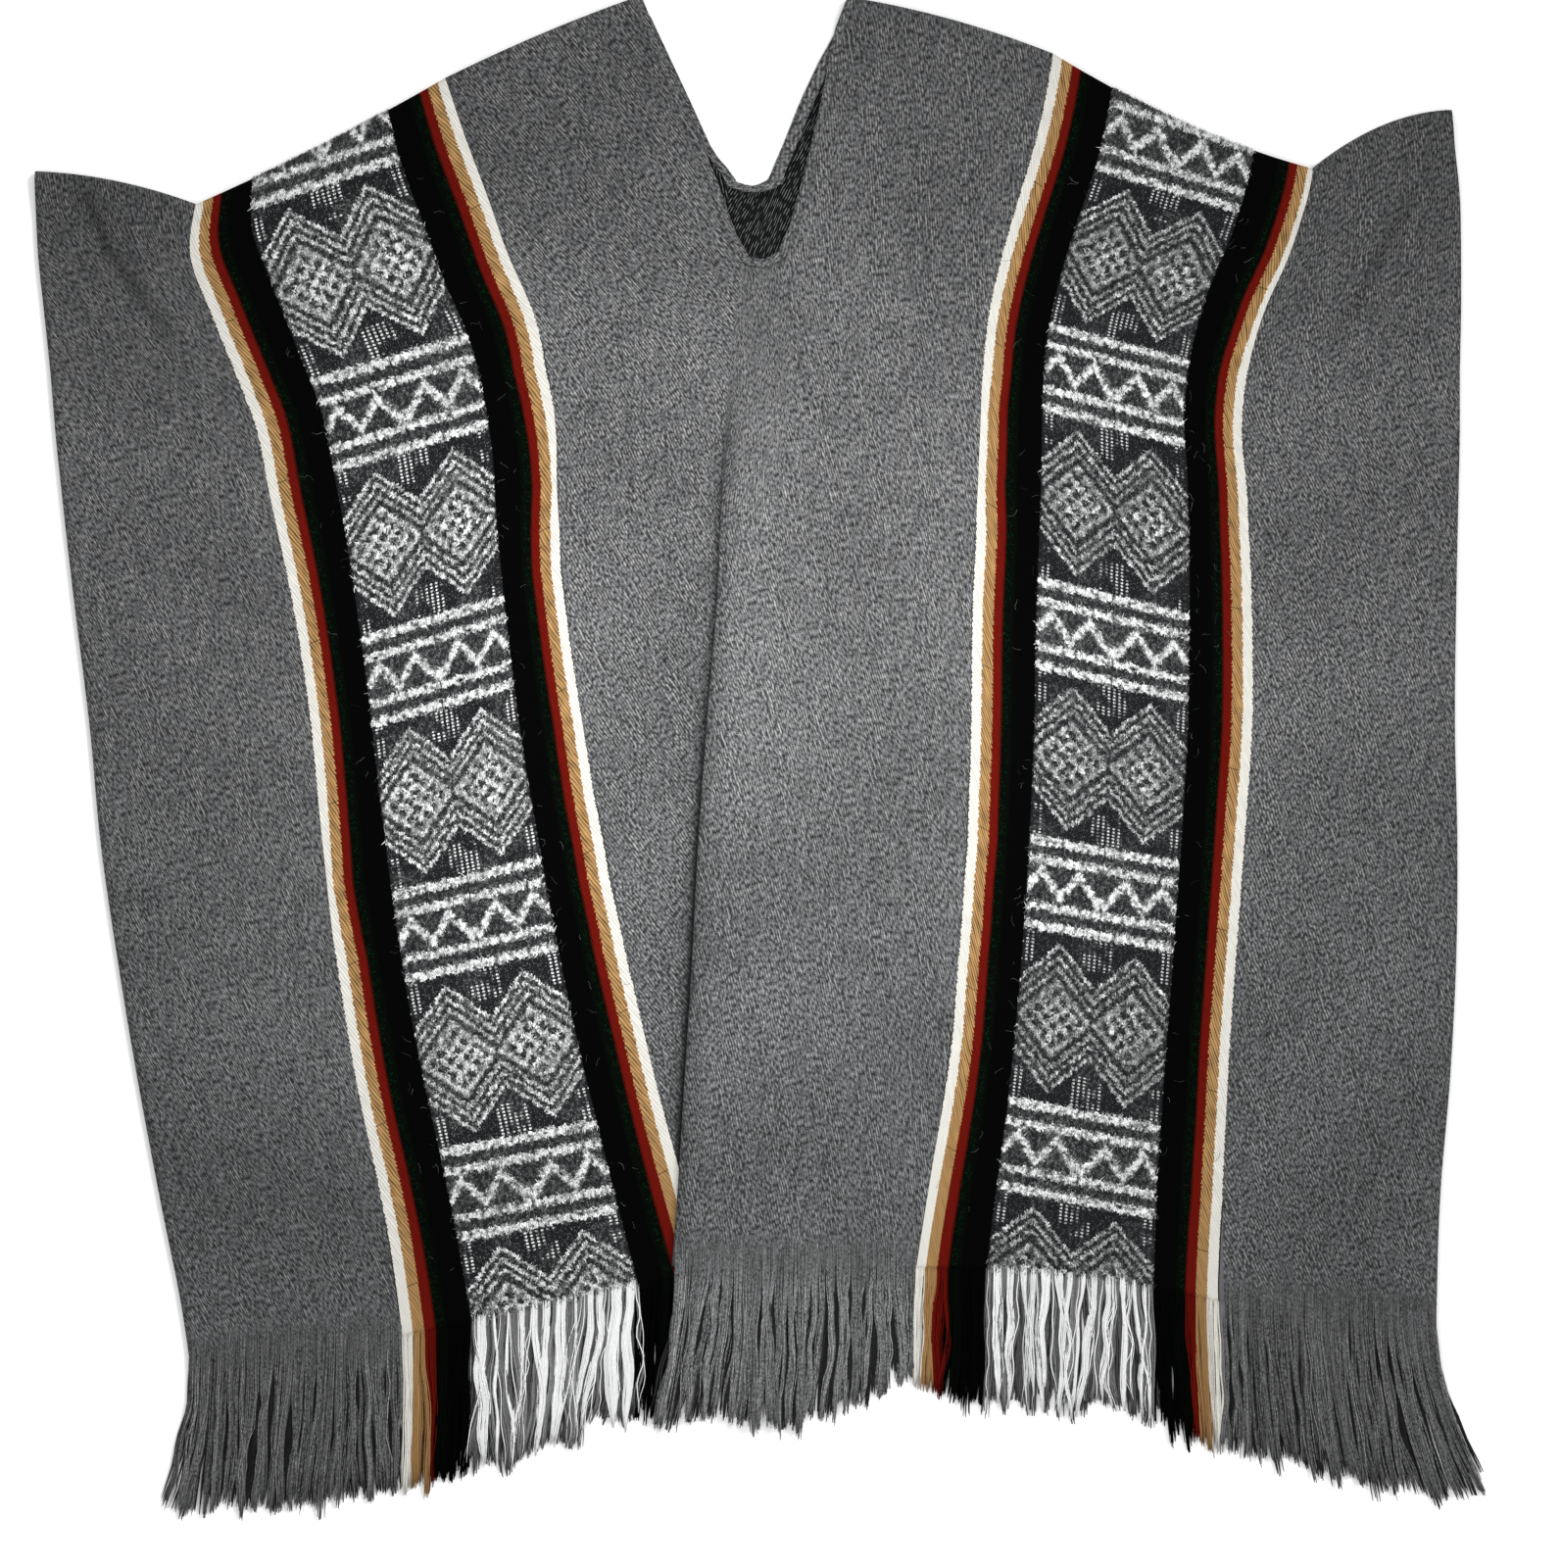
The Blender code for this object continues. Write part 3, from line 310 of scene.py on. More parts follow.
ROLL_DROPS, ROLL_HEIGHTS = roll_rows()
SETTLE_PLACES = np.arange(1, SETTLE_STEPS + 1) / SETTLE_STEPS
SETTLE_DROPS = ROLL_RADIUS + (SETTLE - ROLL_RADIUS) * SETTLE_PLACES
SETTLE_SHARES = 0.5 + 0.5 * np.cos(math.pi * SETTLE_PLACES)
ROLL_COUNT = len(ROLL_DROPS)
EDGE_ROWS = ROLL_COUNT + SETTLE_STEPS
ROWS = EDGE_ROWS + NECK_ROWS + BODY_ROWS
NECK_ROW = EDGE_ROWS + NECK_ROWS - 1


def row_drops(length, neck_share):
    """Distance of every row from the shoulder, on a warp line of this length."""
    neck_length = neck_share * length - SETTLE
    beside = SETTLE + neck_length * np.arange(1, NECK_ROWS + 1) / NECK_ROWS
    below = neck_share * length + (1 - neck_share) * length * np.arange(1, BODY_ROWS + 1) / BODY_ROWS
    return np.concatenate((ROLL_DROPS, SETTLE_DROPS, beside, below))


def row_heights(x, y, wall):
    """Middle height of the front on a grid of points with a row for each of ROWS."""
    heights = FRONT_LIFT + wall / 2 + fold_height(x, y)
    heights[:ROLL_COUNT] = ROLL_HEIGHTS[:, None]
    top = ROLL_HEIGHTS[-1] + (wall[ROLL_COUNT:EDGE_ROWS] - WALL) / 2
    lying = heights[ROLL_COUNT:EDGE_ROWS]
    heights[ROLL_COUNT:EDGE_ROWS] = lying + (top - lying) * SETTLE_SHARES[:, None]
    return heights


def warp_line(line):
    """Points (x, y) of a warp line, one for each row of the front."""
    top, bottom = ENDS[line]
    y = top - row_drops(top - bottom, NECK_SHARE)
    return np.stack((line_x(line, y), y), 1)


def corner_level(neck, side, width):
    """Height at which the cloth's edge beside the V turns under the V's bottom."""
    corner = neck[NECK_BOTTOM if side == "left" else NECK_BOTTOM_END]
    return corner[1] - HEM_CORNER_DROP * width - SEAM


def neck_line(side):
    """The front's edge beside the V; below the V it's not used."""
    top = FRONT_NECK[0][1]
    length = top - ENDS["crease"][1]
    low = corner_level(FRONT_NECK, side, FRONT_HEM_WIDTH)
    y = top - row_drops(length, (top - low) / length)
    corner = neck_side(FRONT_NECK, side)[-1, 1]
    x = neck_x(FRONT_NECK, side, np.maximum(y, corner), FRONT_HEM_WIDTH + SEAM)
    return np.stack((x, y), 1)


def under_neck(columns, left, right, lowest):
    """Rows of points that run round the V's bottom at first and straight across further down."""
    shares = np.linspace(0, 1, columns)
    sag = 4 * shares * (1 - shares)
    straight = left[1] + (right[1] - left[1]) * shares
    deepest = (left[1] + right[1]) / 2 - lowest
    return straight - deepest * sag


# ---- pleat ----------------------------------------------------------------------------------
def pleat_section(x_crease, overlap, lift):
    """Points (x, height over the underlying front) from the lower layer to the upper one."""
    radius = BEND_RADIUS
    crease_x = x_crease + radius + WALL / 2
    hidden_x = crease_x + overlap
    turn = math.pi if overlap >= 0 else 2 * math.atan2(PLEAT_PITCH, -overlap)
    bend = turn * np.arange(BEND_STEPS + 1) / BEND_STEPS
    hidden = np.stack((hidden_x + radius * np.sin(bend), radius - radius * np.cos(bend)), 1)
    crease = np.stack((crease_x - radius * np.sin(bend[::-1]),
                       3 * radius + radius * np.cos(bend[::-1])), 1)
    over = max(hidden_x, crease_x) + radius + SHELF
    knee_share, knee_height = SETTLE_KNEE
    layer = np.linspace(hidden[-1], crease[0], LAYER_COLUMNS + 1)[1:-1]
    shelf = np.linspace(crease[-1], (over, 4 * radius), LAYER_COLUMNS + 1)[1:]
    down = np.linspace(0, 1, LAYER_COLUMNS + 1)[1:]
    falls = np.interp(down, (0, knee_share, 1), (1, knee_height, 0))
    falls = 0.5 * falls + 0.25 * (1 + np.cos(math.pi * down))
    settle = np.stack((over + PLEAT_SETTLE * down, 4 * radius * falls), 1)
    section = np.vstack((hidden, layer, crease, shelf, settle))
    section[:, 1] *= lift
    return section


def pleat_grid():
    """Pleat points (x, y, height) on every row; rows above the V repeat its first one."""
    corners = neck_line("left")[NECK_ROW], neck_line("right")[NECK_ROW]
    left, right = corners[0][0], corners[1][0]
    rows = []
    for row in range(ROWS):
        share = max(row - NECK_ROW, 0) / BODY_ROWS
        y = FRONT_NECK_BOTTOM + (ENDS["crease"][1] - FRONT_NECK_BOTTOM) * share
        if y > LAP_START:
            ridge = float(ease((FRONT_NECK_BOTTOM - y) / (FRONT_NECK_BOTTOM - LAP_START)))
            overlap = -RIDGE_WIDTH + (RIDGE_WIDTH - 2 * PLEAT_PITCH) * ridge
        else:
            ridge = 1.0
            depth = ((LAP_START - y) / (LAP_START - ENDS["crease"][1]))**LAP_POWER * LAP_AT_HEM
            overlap = depth - 2 * PLEAT_PITCH
        section = pleat_section(float(line_x("crease", y)), overlap, ridge)
        flat = np.linspace(left, right, len(section))
        opened = float(ease(share / OPENING_SHARE))
        x = flat + (section[:, 0] - flat) * opened
        round_neck = under_neck(len(x), *corners, FRONT_NECK_BOTTOM) - FRONT_NECK_BOTTOM
        levels = y + round_neck * (1 - ease(share / OPENING_SHARE))
        rows.append(np.stack((x, levels, section[:, 1]), 1))
    return np.array(rows)


# ---- meshes ---------------------------------------------------------------------------------
def add_object(name, data):
    made = bpy.data.objects.new(name, data)
    bpy.context.scene.collection.objects.link(made)
    return made


def new_mesh(name, points, corners, sizes, maps, materials, face_material=None):
    """A mesh object from arrays: points in millimetres, face corners in one run, their counts."""
    data = bpy.data.meshes.new(name)
    data.vertices.add(len(points))
    data.vertices.foreach_set("co", (points * MM).astype(np.float32).ravel())
    data.loops.add(len(corners))
    data.loops.foreach_set("vertex_index", corners.astype(np.int32))
    data.polygons.add(len(sizes))
    starts = np.concatenate(([0], np.cumsum(sizes)[:-1]))
    data.polygons.foreach_set("loop_start", starts.astype(np.int32))
    data.polygons.foreach_set("loop_total", np.asarray(sizes, np.int32))
    data.polygons.foreach_set("use_smooth", np.ones(len(sizes), bool))
    if face_material is not None:
        data.polygons.foreach_set("material_index", np.asarray(face_material, np.int32))
    data.update(calc_edges=True)
    for key, coordinates in maps.items():
        layer = data.uv_layers.new(name=key, do_init=False)
        layer.data.foreach_set("uv", coordinates.astype(np.float32).ravel())
    for material in materials:
        data.materials.append(material)
    data.validate()
    return add_object(name, data)


def unit(vectors):
    """Vectors at unit length, or of no length where they had none."""
    return vectors / np.maximum(np.linalg.norm(vectors, axis=-1, keepdims=True), TINY)


# A half of the cloth, or a turned hem: middle points and walls on a grid, which of its cells exist,
# their maps, and the columns between which the neck is open.
Cloth = collections.namedtuple("Cloth", "grid walls present maps notch notch_end",
                               defaults=(None, None))


def all_cells(grid):
    return np.ones((grid.shape[0] - 1, grid.shape[1] - 1), bool)


def cell_normals(grid, present):
    """Unit normals of a grid's points, from the cells that exist."""
    total = np.zeros_like(grid)
    down = grid[1:, :-1] + grid[1:, 1:] - grid[:-1, :-1] - grid[:-1, 1:]
    across = grid[:-1, 1:] + grid[1:, 1:] - grid[:-1, :-1] - grid[1:, :-1]
    normal = unit(np.cross(down, across)) * present[..., None]
    for rows in (slice(0, -1), slice(1, None)):
        for columns in (slice(0, -1), slice(1, None)):
            total[rows, columns] += normal
    return unit(total)


# The sides of a cell: towards which neighbour, and its two corners there (down, right).
CELL_SIDES = (((0, -1), (0, 0), (1, 0)), ((1, 0), (1, 0), (1, 1)),
              ((0, 1), (1, 1), (0, 1)), ((-1, 0), (0, 1), (0, 0)))


def shell(name, cloth, materials, top_kinds, under_kinds):
    """A closed thin shell round the middle points of a piece of cloth.

    Its maps give, for each coordinate map, arrays for the left and right sides of every cell:
    (rows, columns - 1, 2) each, with a row of points above and below.  `top_kinds` and
    `under_kinds` give the place in `materials` of each column of cells.
    """
    grid, present = cloth.grid, cloth.present
    rows, columns = grid.shape[:2]
    offsets = cell_normals(grid, present) * cloth.walls[..., None] / 2
    points = np.stack((grid + offsets, grid - offsets))
    points[..., 2] = np.maximum(points[..., 2], 0.0)
    points = points.reshape(-1, 3)
    top_kinds, under_kinds = (np.broadcast_to(kinds, present.shape)
                              for kinds in (top_kinds, under_kinds))
    count = rows * columns
    index = np.arange(count).reshape(rows, columns)

    r, c = np.nonzero(present)
    quads = [np.stack((index[r, c], index[r + 1, c], index[r + 1, c + 1], index[r, c + 1]), 1)]
    quads.append(quads[0][:, ::-1] + count)
    uv = {}
    for key, (left, right) in cloth.maps.items():
        cells = np.stack((left[r, c], left[r + 1, c], right[r + 1, c], right[r, c]), 1)
        uv[key] = [cells, cells[:, ::-1]]
    kinds = [top_kinds[r, c], under_kinds[r, c]]
    padded = np.pad(present, 1)
    for (dr, dc), first, second in CELL_SIDES:
        edge = ~padded[r + 1 + dr, c + 1 + dc]
        er, ec = r[edge], c[edge]
        kinds.append(top_kinds[er, ec])
        a = index[er + first[0], ec + first[1]]
        b = index[er + second[0], ec + second[1]]
        quads.append(np.stack((b, a, a + count, b + count), 1))
        for key, sides in cloth.maps.items():
            at_a = sides[first[1]][er + first[0], ec]
            at_b = sides[second[1]][er + second[0], ec]
            uv[key].append(np.stack((at_b, at_a, at_a, at_b), 1))
    faces = np.vstack(quads)

    used = np.unique(faces)
    renumber = np.zeros(len(points), int)
    renumber[used] = np.arange(len(used))
    return new_mesh(name, points[used], renumber[faces].ravel(), np.full(len(faces), 4),
                    {key: np.vstack(parts).reshape(-1, 2) for key, parts in uv.items()},
                    materials, np.concatenate(kinds))


# ---- columns of the two halves ------------------------------------------------------------------
def half_band():
    """Shares of the band's width at the shell's columns, from one edge to its middle."""
    shares, at = [0.0], 0.0
    for _, share, steps in HALF_STRIPES:
        shares.extend(at + share * np.arange(1, steps + 1) / steps)
        at += share
    return np.array(shares)


BAND_SHARES = np.concatenate((half_band(), 1 - half_band()[-2::-1]))
PANEL_SHARES = np.linspace(0, 1, PANEL_COLUMNS + 1)
CENTRE_SHARES = np.linspace(0, 1, CENTRE_COLUMNS + 1)


def band_walls(wall):
    """Walls at the columns of a band, whose patterned part has this one."""
    return np.where(np.minimum(BAND_SHARES, 1 - BAND_SHARES) > PATTERN_START - 0.001, wall, WALL)


def column_kinds(half):
    """What each column of cells shows: 0 plain ground, 1 a stripe, 2 the pattern."""
    kinds = np.zeros(half.present.shape[1], int)
    middles = (BAND_SHARES[:-1] + BAND_SHARES[1:]) / 2
    band = np.where(np.minimum(middles, 1 - middles) > PATTERN_START, 2, 1)
    for start in (PANEL_COLUMNS, half.notch_end + CENTRE_COLUMNS):
        kinds[start:start + len(band)] = band
    return kinds


def block(left, right, shares, bow_top=0.0, bow_hem=0.0):
    """Points (rows, columns, 2) between two warp lines."""
    down = np.linspace(0, 1, len(left))[:, None]
    made = left[:, None] * (1 - shares)[:, None] + right[:, None] * shares[:, None]
    bow = 4 * shares * (1 - shares)
    made[..., 1] += bow * (bow_top * (1 - down)**2 + bow_hem * down**2)
    return made


def band_phase(points, centre, rows):
    """Distance down the warp, in repeats of the chart, at points of a band."""
    heights, slopes = np.array(rows).T
    x, y = points[..., 0], points[..., 1]
    level = y - np.interp(y, heights[::-1], slopes[::-1]) * (x - centre[:, None])
    order = np.arange(len(heights)) * REPEAT
    phase = np.interp(level, heights[::-1], order[::-1])
    phase = np.where(level > heights[0], order[0] - (level - heights[0]), phase)
    return np.where(level < heights[-1], order[-1] + heights[-1] - level, phase)


def drifted(points, edges):
    """Shares of a band's width after its stripes have drifted along its two edges."""
    table = np.array(DRIFTS)[::-1]
    names = ("left_outer", "left_inner", "right_inner", "right_outer")
    shares = np.broadcast_to(BAND_SHARES, points.shape[:2]).copy()
    for edge, from_edge, sign in zip(edges, (BAND_SHARES, 1 - BAND_SHARES), (-1, 1)):
        drift = np.interp(points[..., 1], table[:, 0], table[:, 1 + names.index(edge)])
        reach = (DRIFT_END - from_edge * BAND_WIDTH) / (DRIFT_END - DRIFT_FULL)
        shares += sign * drift * np.clip(reach, 0, 1) / BAND_WIDTH
    return shares


class Columns:
    """Blocks of columns of a half, with their walls and their cloth coordinates."""

    def __init__(self):
        self.points = []
        self.walls = []
        self.sides = {"weave": [], "band": []}

    def add(self, points, drops, widths, band, walls=WALL):
        """A block; `drops` and `widths` are distance down and across the cut."""
        start = 1 if self.points else 0
        weave = np.stack((np.broadcast_to(widths, points.shape[:2]), drops), 2)
        for key, values in (("weave", weave), ("band", band)):
            self.sides[key].append((values[:, :-1], values[:, 1:]))
        self.points.append(points[:, start:])
        self.walls.append(np.broadcast_to(walls, points.shape[:2])[:, start:])

    def last(self):
        return sum(part.shape[1] for part in self.points) - 1

    def maps(self):
        return {key: tuple(np.concatenate(side, 1) for side in zip(*blocks))
                for key, blocks in self.sides.items()}


def drops_of(points):
    """Distance down the warp from the shoulder, at a grid of points that reaches it."""
    return points[:1, :, 1] - points[..., 1]


def plain_band(points, shade=0.0):
    """Band coordinates of plain cloth: (painted shade in the folds, distance to the hem)."""
    to_hem = points[..., 1] - points[-1:, :, 1]
    return np.stack((np.broadcast_to(shade, to_hem.shape), to_hem), 2)


def crease_shade(points, side):
    """Painted shade in a panel's crease at the shoulder."""
    line_x, line_y, width, shade = np.array(CREASES[side])[::-1].T
    x, y = points[..., 0], points[..., 1]
    aside = (x - np.interp(y, line_y, line_x)) / np.interp(y, line_y, width)
    return np.interp(y, line_y, shade, left=0.0, right=0.0) * np.exp(-aside**2)


def lap_shade(points):
    """Painted shadow on the lower cloth along the edge of the pleat that laps over it."""
    x, y = points[..., 0], points[..., 1]
    beside = np.maximum(line_x("crease", y) - x, 0.0)
    line = LAP_LINE * np.exp(-(beside / LAP_LINE_WIDTH)**2) * ease((LAP_SHADE_TOP - y) / LAP_LINE_RUN)
    wide = LAP_SHADOW * np.exp(-beside / LAP_SHADOW_WIDTH) * ease((LAP_SHADE_TOP - y) / LAP_SHADOW_RUN)
    return line + wide


def roll_shade(points):
    """Painted shade on the pleat's own rolled edge."""
    x, y = points[..., 0], points[..., 1]
    beside = np.abs(x - line_x("crease", y))
    return ROLL_LINE * np.exp(-(beside / ROLL_LINE_WIDTH)**2) * ease((LAP_SHADE_TOP - y) / LAP_LINE_RUN)


def pleat_columns(pleat, left_widths, right_widths):
    """Points, drops, widths and painted shade of the pleat, between the widths on its two sides."""
    steps = np.hypot(np.diff(pleat[..., 0], axis=1), np.diff(pleat[..., 2], axis=1))
    run = np.concatenate((np.zeros((len(steps), 1)), np.cumsum(steps, 1)), 1)
    points = pleat[..., :2]
    # above the lap its weave runs on from the cloth on its left
    apart = left_widths + run[:, -1:] - right_widths
    still_open = ease((points[:, :1, 1] - LAP_START + LAP_WEAVE_RUN) / LAP_WEAVE_RUN)
    widths = right_widths - (run[:, -1:] - run) + apart * still_open * (1 - run / run[:, -1:])
    return points, FRONT_NECK[0][1] - points[..., 1], widths, roll_shade(points)


def build_half(lines, first, last, pleat, wall):
    """All the columns of a half from left to right, and the last ones before and in the neck."""
    columns = Columns()
    starts = {"left": SIDE_WIDTH, "right": CUT_WIDTH - SIDE_WIDTH - BAND_WIDTH}

    def add_plain(points, width, column, shade=0.0):
        """Plain cloth that lies this width across the cut at one of its columns."""
        widths = width + points[..., 0] - points[:, [column], 0]
        columns.add(points, drops_of(points), widths, plain_band(points, shade))
        return widths

    def add_panel(side, left, right, width, column):
        points = block(lines[left], lines[right], PANEL_SHARES, BOWS[side + "_panel"])
        add_plain(points, width, column, crease_shade(points, side + "_panel"))

    def add_band(side, left, right, rows, hem_bow):
        points = block(lines[left], lines[right], BAND_SHARES, BOWS[side + "_band"], hem_bow)
        phase = band_phase(points, (lines[left][:, 0] + lines[right][:, 0]) / 2, rows)
        columns.add(points, drops_of(points), starts[side] + BAND_SHARES * BAND_WIDTH,
                    np.stack((drifted(points, (left, right)), phase), 2), band_walls(wall))

    add_panel("left", "left_selvedge", "left_outer", SIDE_WIDTH, -1)
    add_band("left", "left_outer", "left_inner", LEFT_ROWS, 0.0)
    points = block(lines["left_inner"], first, CENTRE_SHARES, BOWS["centre_left"])
    left_widths = add_plain(points, SIDE_WIDTH + BAND_WIDTH, 0, lap_shade(points))
    notch = columns.last()

    centre = block(last, lines["right_inner"], CENTRE_SHARES, BOWS["centre_right"])
    right_widths = starts["right"] + centre[:, :1, 0] - centre[:, -1:, 0]
    if pleat is None:
        points = block(first, last, np.linspace(0, 1, BELOW_NECK_COLUMNS + 1))
        add_plain(points, right_widths, -1)
    else:
        points, drops, widths, shade = pleat_columns(pleat, left_widths[:, -1:], right_widths)
        columns.add(points, drops, widths, plain_band(points, shade))
    notch_end = columns.last()
    add_plain(centre, starts["right"], -1)
    add_band("right", "right_inner", "right_outer", RIGHT_ROWS, RIGHT_BAND_HEM_BOW)
    add_panel("right", "right_outer", "right_selvedge", CUT_WIDTH - SIDE_WIDTH, 0)
    return columns, notch, notch_end


def front_half():
    """The front, with its folds, its rolled shoulder and its pleat."""
    lines = {line: warp_line(line) for line in LINES}
    pleat = pleat_grid()
    first, last = neck_line("left"), neck_line("right")
    first[NECK_ROW:] = pleat[NECK_ROW:, 0, :2]
    last[NECK_ROW:] = pleat[NECK_ROW:, -1, :2]
    pleat[:NECK_ROW, -1, :2] = last[:NECK_ROW]
    columns, notch, notch_end = build_half(lines, first, last, pleat, BAND_WALL)
    flat = np.concatenate(columns.points, 1)
    walls = np.concatenate(columns.walls, 1).copy()
    walls[:ROLL_COUNT] = WALL
    heights = row_heights(flat[..., 0], flat[..., 1], walls)
    heights[NECK_ROW:, notch:notch_end + 1] += pleat[NECK_ROW:, :, 2]
    grid = np.concatenate((flat, heights[..., None]), 2)
    present = all_cells(grid)
    present[:NECK_ROW, notch:notch_end] = False
    return Cloth(grid, walls, present, columns.maps(), notch, notch_end)


def back_rows(top, bottom, neck_bottom):
    start = top - TUCK - SEAM
    beside = np.linspace(start, neck_bottom, BACK_NECK_ROWS + 1)
    below = neck_bottom + (bottom - neck_bottom) * np.arange(1, BACK_ROWS + 1) / BACK_ROWS
    return np.concatenate((beside, below))


def back_half(meets):
    """The back, which lies flat under the front and ends above at `meets`."""
    lines = {}
    for line in LINES:
        if line != "crease":
            top, bottom = ENDS[line]
            bottom += BACK_INSET
            y = back_rows(top, bottom, top - BACK_NECK_SHARE * (top - bottom))
            lines[line] = np.stack((line_x(line, y) + BACK_SIDES.get(line, 0.0), y), 1)
    sides = []
    for side, corner, width in (("left", NECK_BOTTOM, BACK_HEM_WIDTHS[0]),
                                ("right", NECK_BOTTOM_END, BACK_HEM_WIDTHS[2])):
        low = corner_level(BACK_NECK, side, BACK_HEM_WIDTHS[1])
        y = back_rows(BACK_NECK[0][1], ENDS["crease"][1] + BACK_INSET, low)
        x = neck_x(BACK_NECK, side, np.maximum(y, BACK_NECK[corner][1]), width + SEAM)
        x = x + (BACK_CENTRES[side] - x) * ease((low - y) / BACK_CENTRE_RUN)
        sides.append(np.stack((x, y), 1))
    columns, notch, notch_end = build_half(lines, *sides, None, WALL)
    flat = np.concatenate(columns.points, 1).copy()
    flat[0, :, 1] = meets(flat[0, :, 0])
    lowest = BACK_NECK[NECK_BOTTOM + 1][1] - BACK_HEM_WIDTHS[1] - SEAM
    below = flat[BACK_NECK_ROWS:, notch:notch_end + 1]
    corners = (side[BACK_NECK_ROWS] for side in sides)
    rounding = under_neck(below.shape[1], *corners, lowest) - below[0, :, 1]
    below[..., 1] += rounding * (1 - ease((below[:1, :, 1] - below[..., 1]) / BACK_ROUND_RUN))
    grid = np.concatenate((flat, np.full(flat.shape[:2] + (1,), WALL / 2)), 2)
    present = all_cells(grid)
    present[:BACK_NECK_ROWS, notch:notch_end] = False
    return Cloth(grid, np.full(grid.shape[:2], WALL), present, columns.maps(), notch, notch_end)


# ---- neck hems ------------------------------------------------------------------------------
def hem_path(neck, widths, levels):
    """Edge and inner points of a turned hem, from shoulder to shoulder, and each point's row.

    `levels` are the heights of its stations beside the V; the row is -1 round the bottom.
    """
    levels = np.array(levels)
    corners = {"left": neck[NECK_BOTTOM], "right": neck[NECK_BOTTOM_END]}
    parts = {}
    for side, width in (("left", widths[0]), ("right", widths[2])):
        x, y = corners[side]
        edge = np.stack((neck_x(neck, side, levels), levels), 1)
        inner = np.stack((neck_x(neck, side, levels, width), levels), 1)
        low = (neck_x(neck, side, y, width), y - HEM_CORNER_DROP * widths[1])
        parts[side] = (np.vstack((edge, (x, y))), np.vstack((inner, low)))
    middle = np.array(neck[NECK_BOTTOM + 1])
    below = middle - (0.0, widths[1])
    edge = np.vstack((parts["left"][0], middle, parts["right"][0][::-1]))
    inner = np.vstack((parts["left"][1], below, parts["right"][1][::-1]))
    rows = np.concatenate((np.arange(len(levels)), [-1] * 3, np.arange(len(levels))[::-1]))
    return edge, inner, rows


def rounded_corner(points, rows):
    """Extra stations round the bottom of the V, where `rows` is -1."""
    bottom = np.nonzero(rows == -1)[0]
    first, last = bottom[0] - 1, bottom[-1] + 1
    corner = points[first:last + 1]
    places = np.arange(len(corner), dtype=float)
    at = np.linspace(0, len(corner) - 1, (len(corner) - 1) * CORNER_STEPS + 1)
    bent = np.stack([smooth_curve(at, places, corner[:, axis]) for axis in range(2)], 1)
    marks = np.concatenate((rows[:first + 1], np.full(len(at) - 2, -1), rows[last:]))
    return np.vstack((points[:first], bent, points[last + 1:])), marks


def hem_grid(edge, inner, rows, height_at):
    """Points across a hem, crowned in the middle, with `height_at(x, y, rows)` underneath."""
    edge, marks = rounded_corner(edge, rows)
    inner, _ = rounded_corner(inner, rows)
    shares = np.linspace(0, 1, HEM_COLUMNS + 1)
    flat = edge[:, None] * (1 - shares)[:, None] + inner[:, None] * shares[:, None]
    heights = height_at(flat[..., 0], flat[..., 1], marks)
    crown = HEM_CROWN * np.sin(math.pi * shares)
    return np.concatenate((flat, (heights + crown)[..., None]), 2)[:, ::-1]


def hem_cloth(grid):
    """A hem's cloth round these points, whose weave runs along its length."""
    run = path_places(grid[:, 0])[:, None]
    across = np.linspace(0, FRONT_HEM_WIDTH, grid.shape[1])[None]
    weave = np.stack(np.broadcast_arrays(across, run), 2)
    return Cloth(grid, np.full(grid.shape[:2], HEM_WALL), all_cells(grid),
                 {"weave": (weave[:, :-1], weave[:, 1:])})


def front_hem_height(x, y, marks):
    heights = FRONT_LIFT + WALL / 2 + fold_height(x, y)
    for index, row in enumerate(marks):
        if 0 <= row < ROLL_COUNT:
            heights[index] = ROLL_HEIGHTS[row]
        elif ROLL_COUNT <= row < EDGE_ROWS:
            share = SETTLE_SHARES[row - ROLL_COUNT]
            heights[index] += (ROLL_HEIGHTS[-1] - heights[index]) * share
    return heights


def make_hems(material, meets):
    """The turned neck edges of the front and of the back."""
    levels = neck_line("left")[:NECK_ROW, 1]
    front = hem_grid(*hem_path(FRONT_NECK, (FRONT_HEM_WIDTH,) * 3, levels), front_hem_height)
    levels = back_rows(BACK_NECK[0][1], 0.0, BACK_NECK[NECK_BOTTOM][1] + 2)[:BACK_NECK_ROWS + 1]
    back = hem_grid(*hem_path(BACK_NECK, BACK_HEM_WIDTHS, levels),
                    lambda x, y, marks: np.full(x.shape, HEM_WALL / 2))
    for end in (0, -1):
        back[end, :, 1] = np.minimum(back[end, :, 1], meets(back[end, :, 0]))
    return [shell(name, hem_cloth(grid), [material], 0, 0)
            for name, grid in (("neck_hem_front_turned", front), ("neck_hem_back_turned", back))]


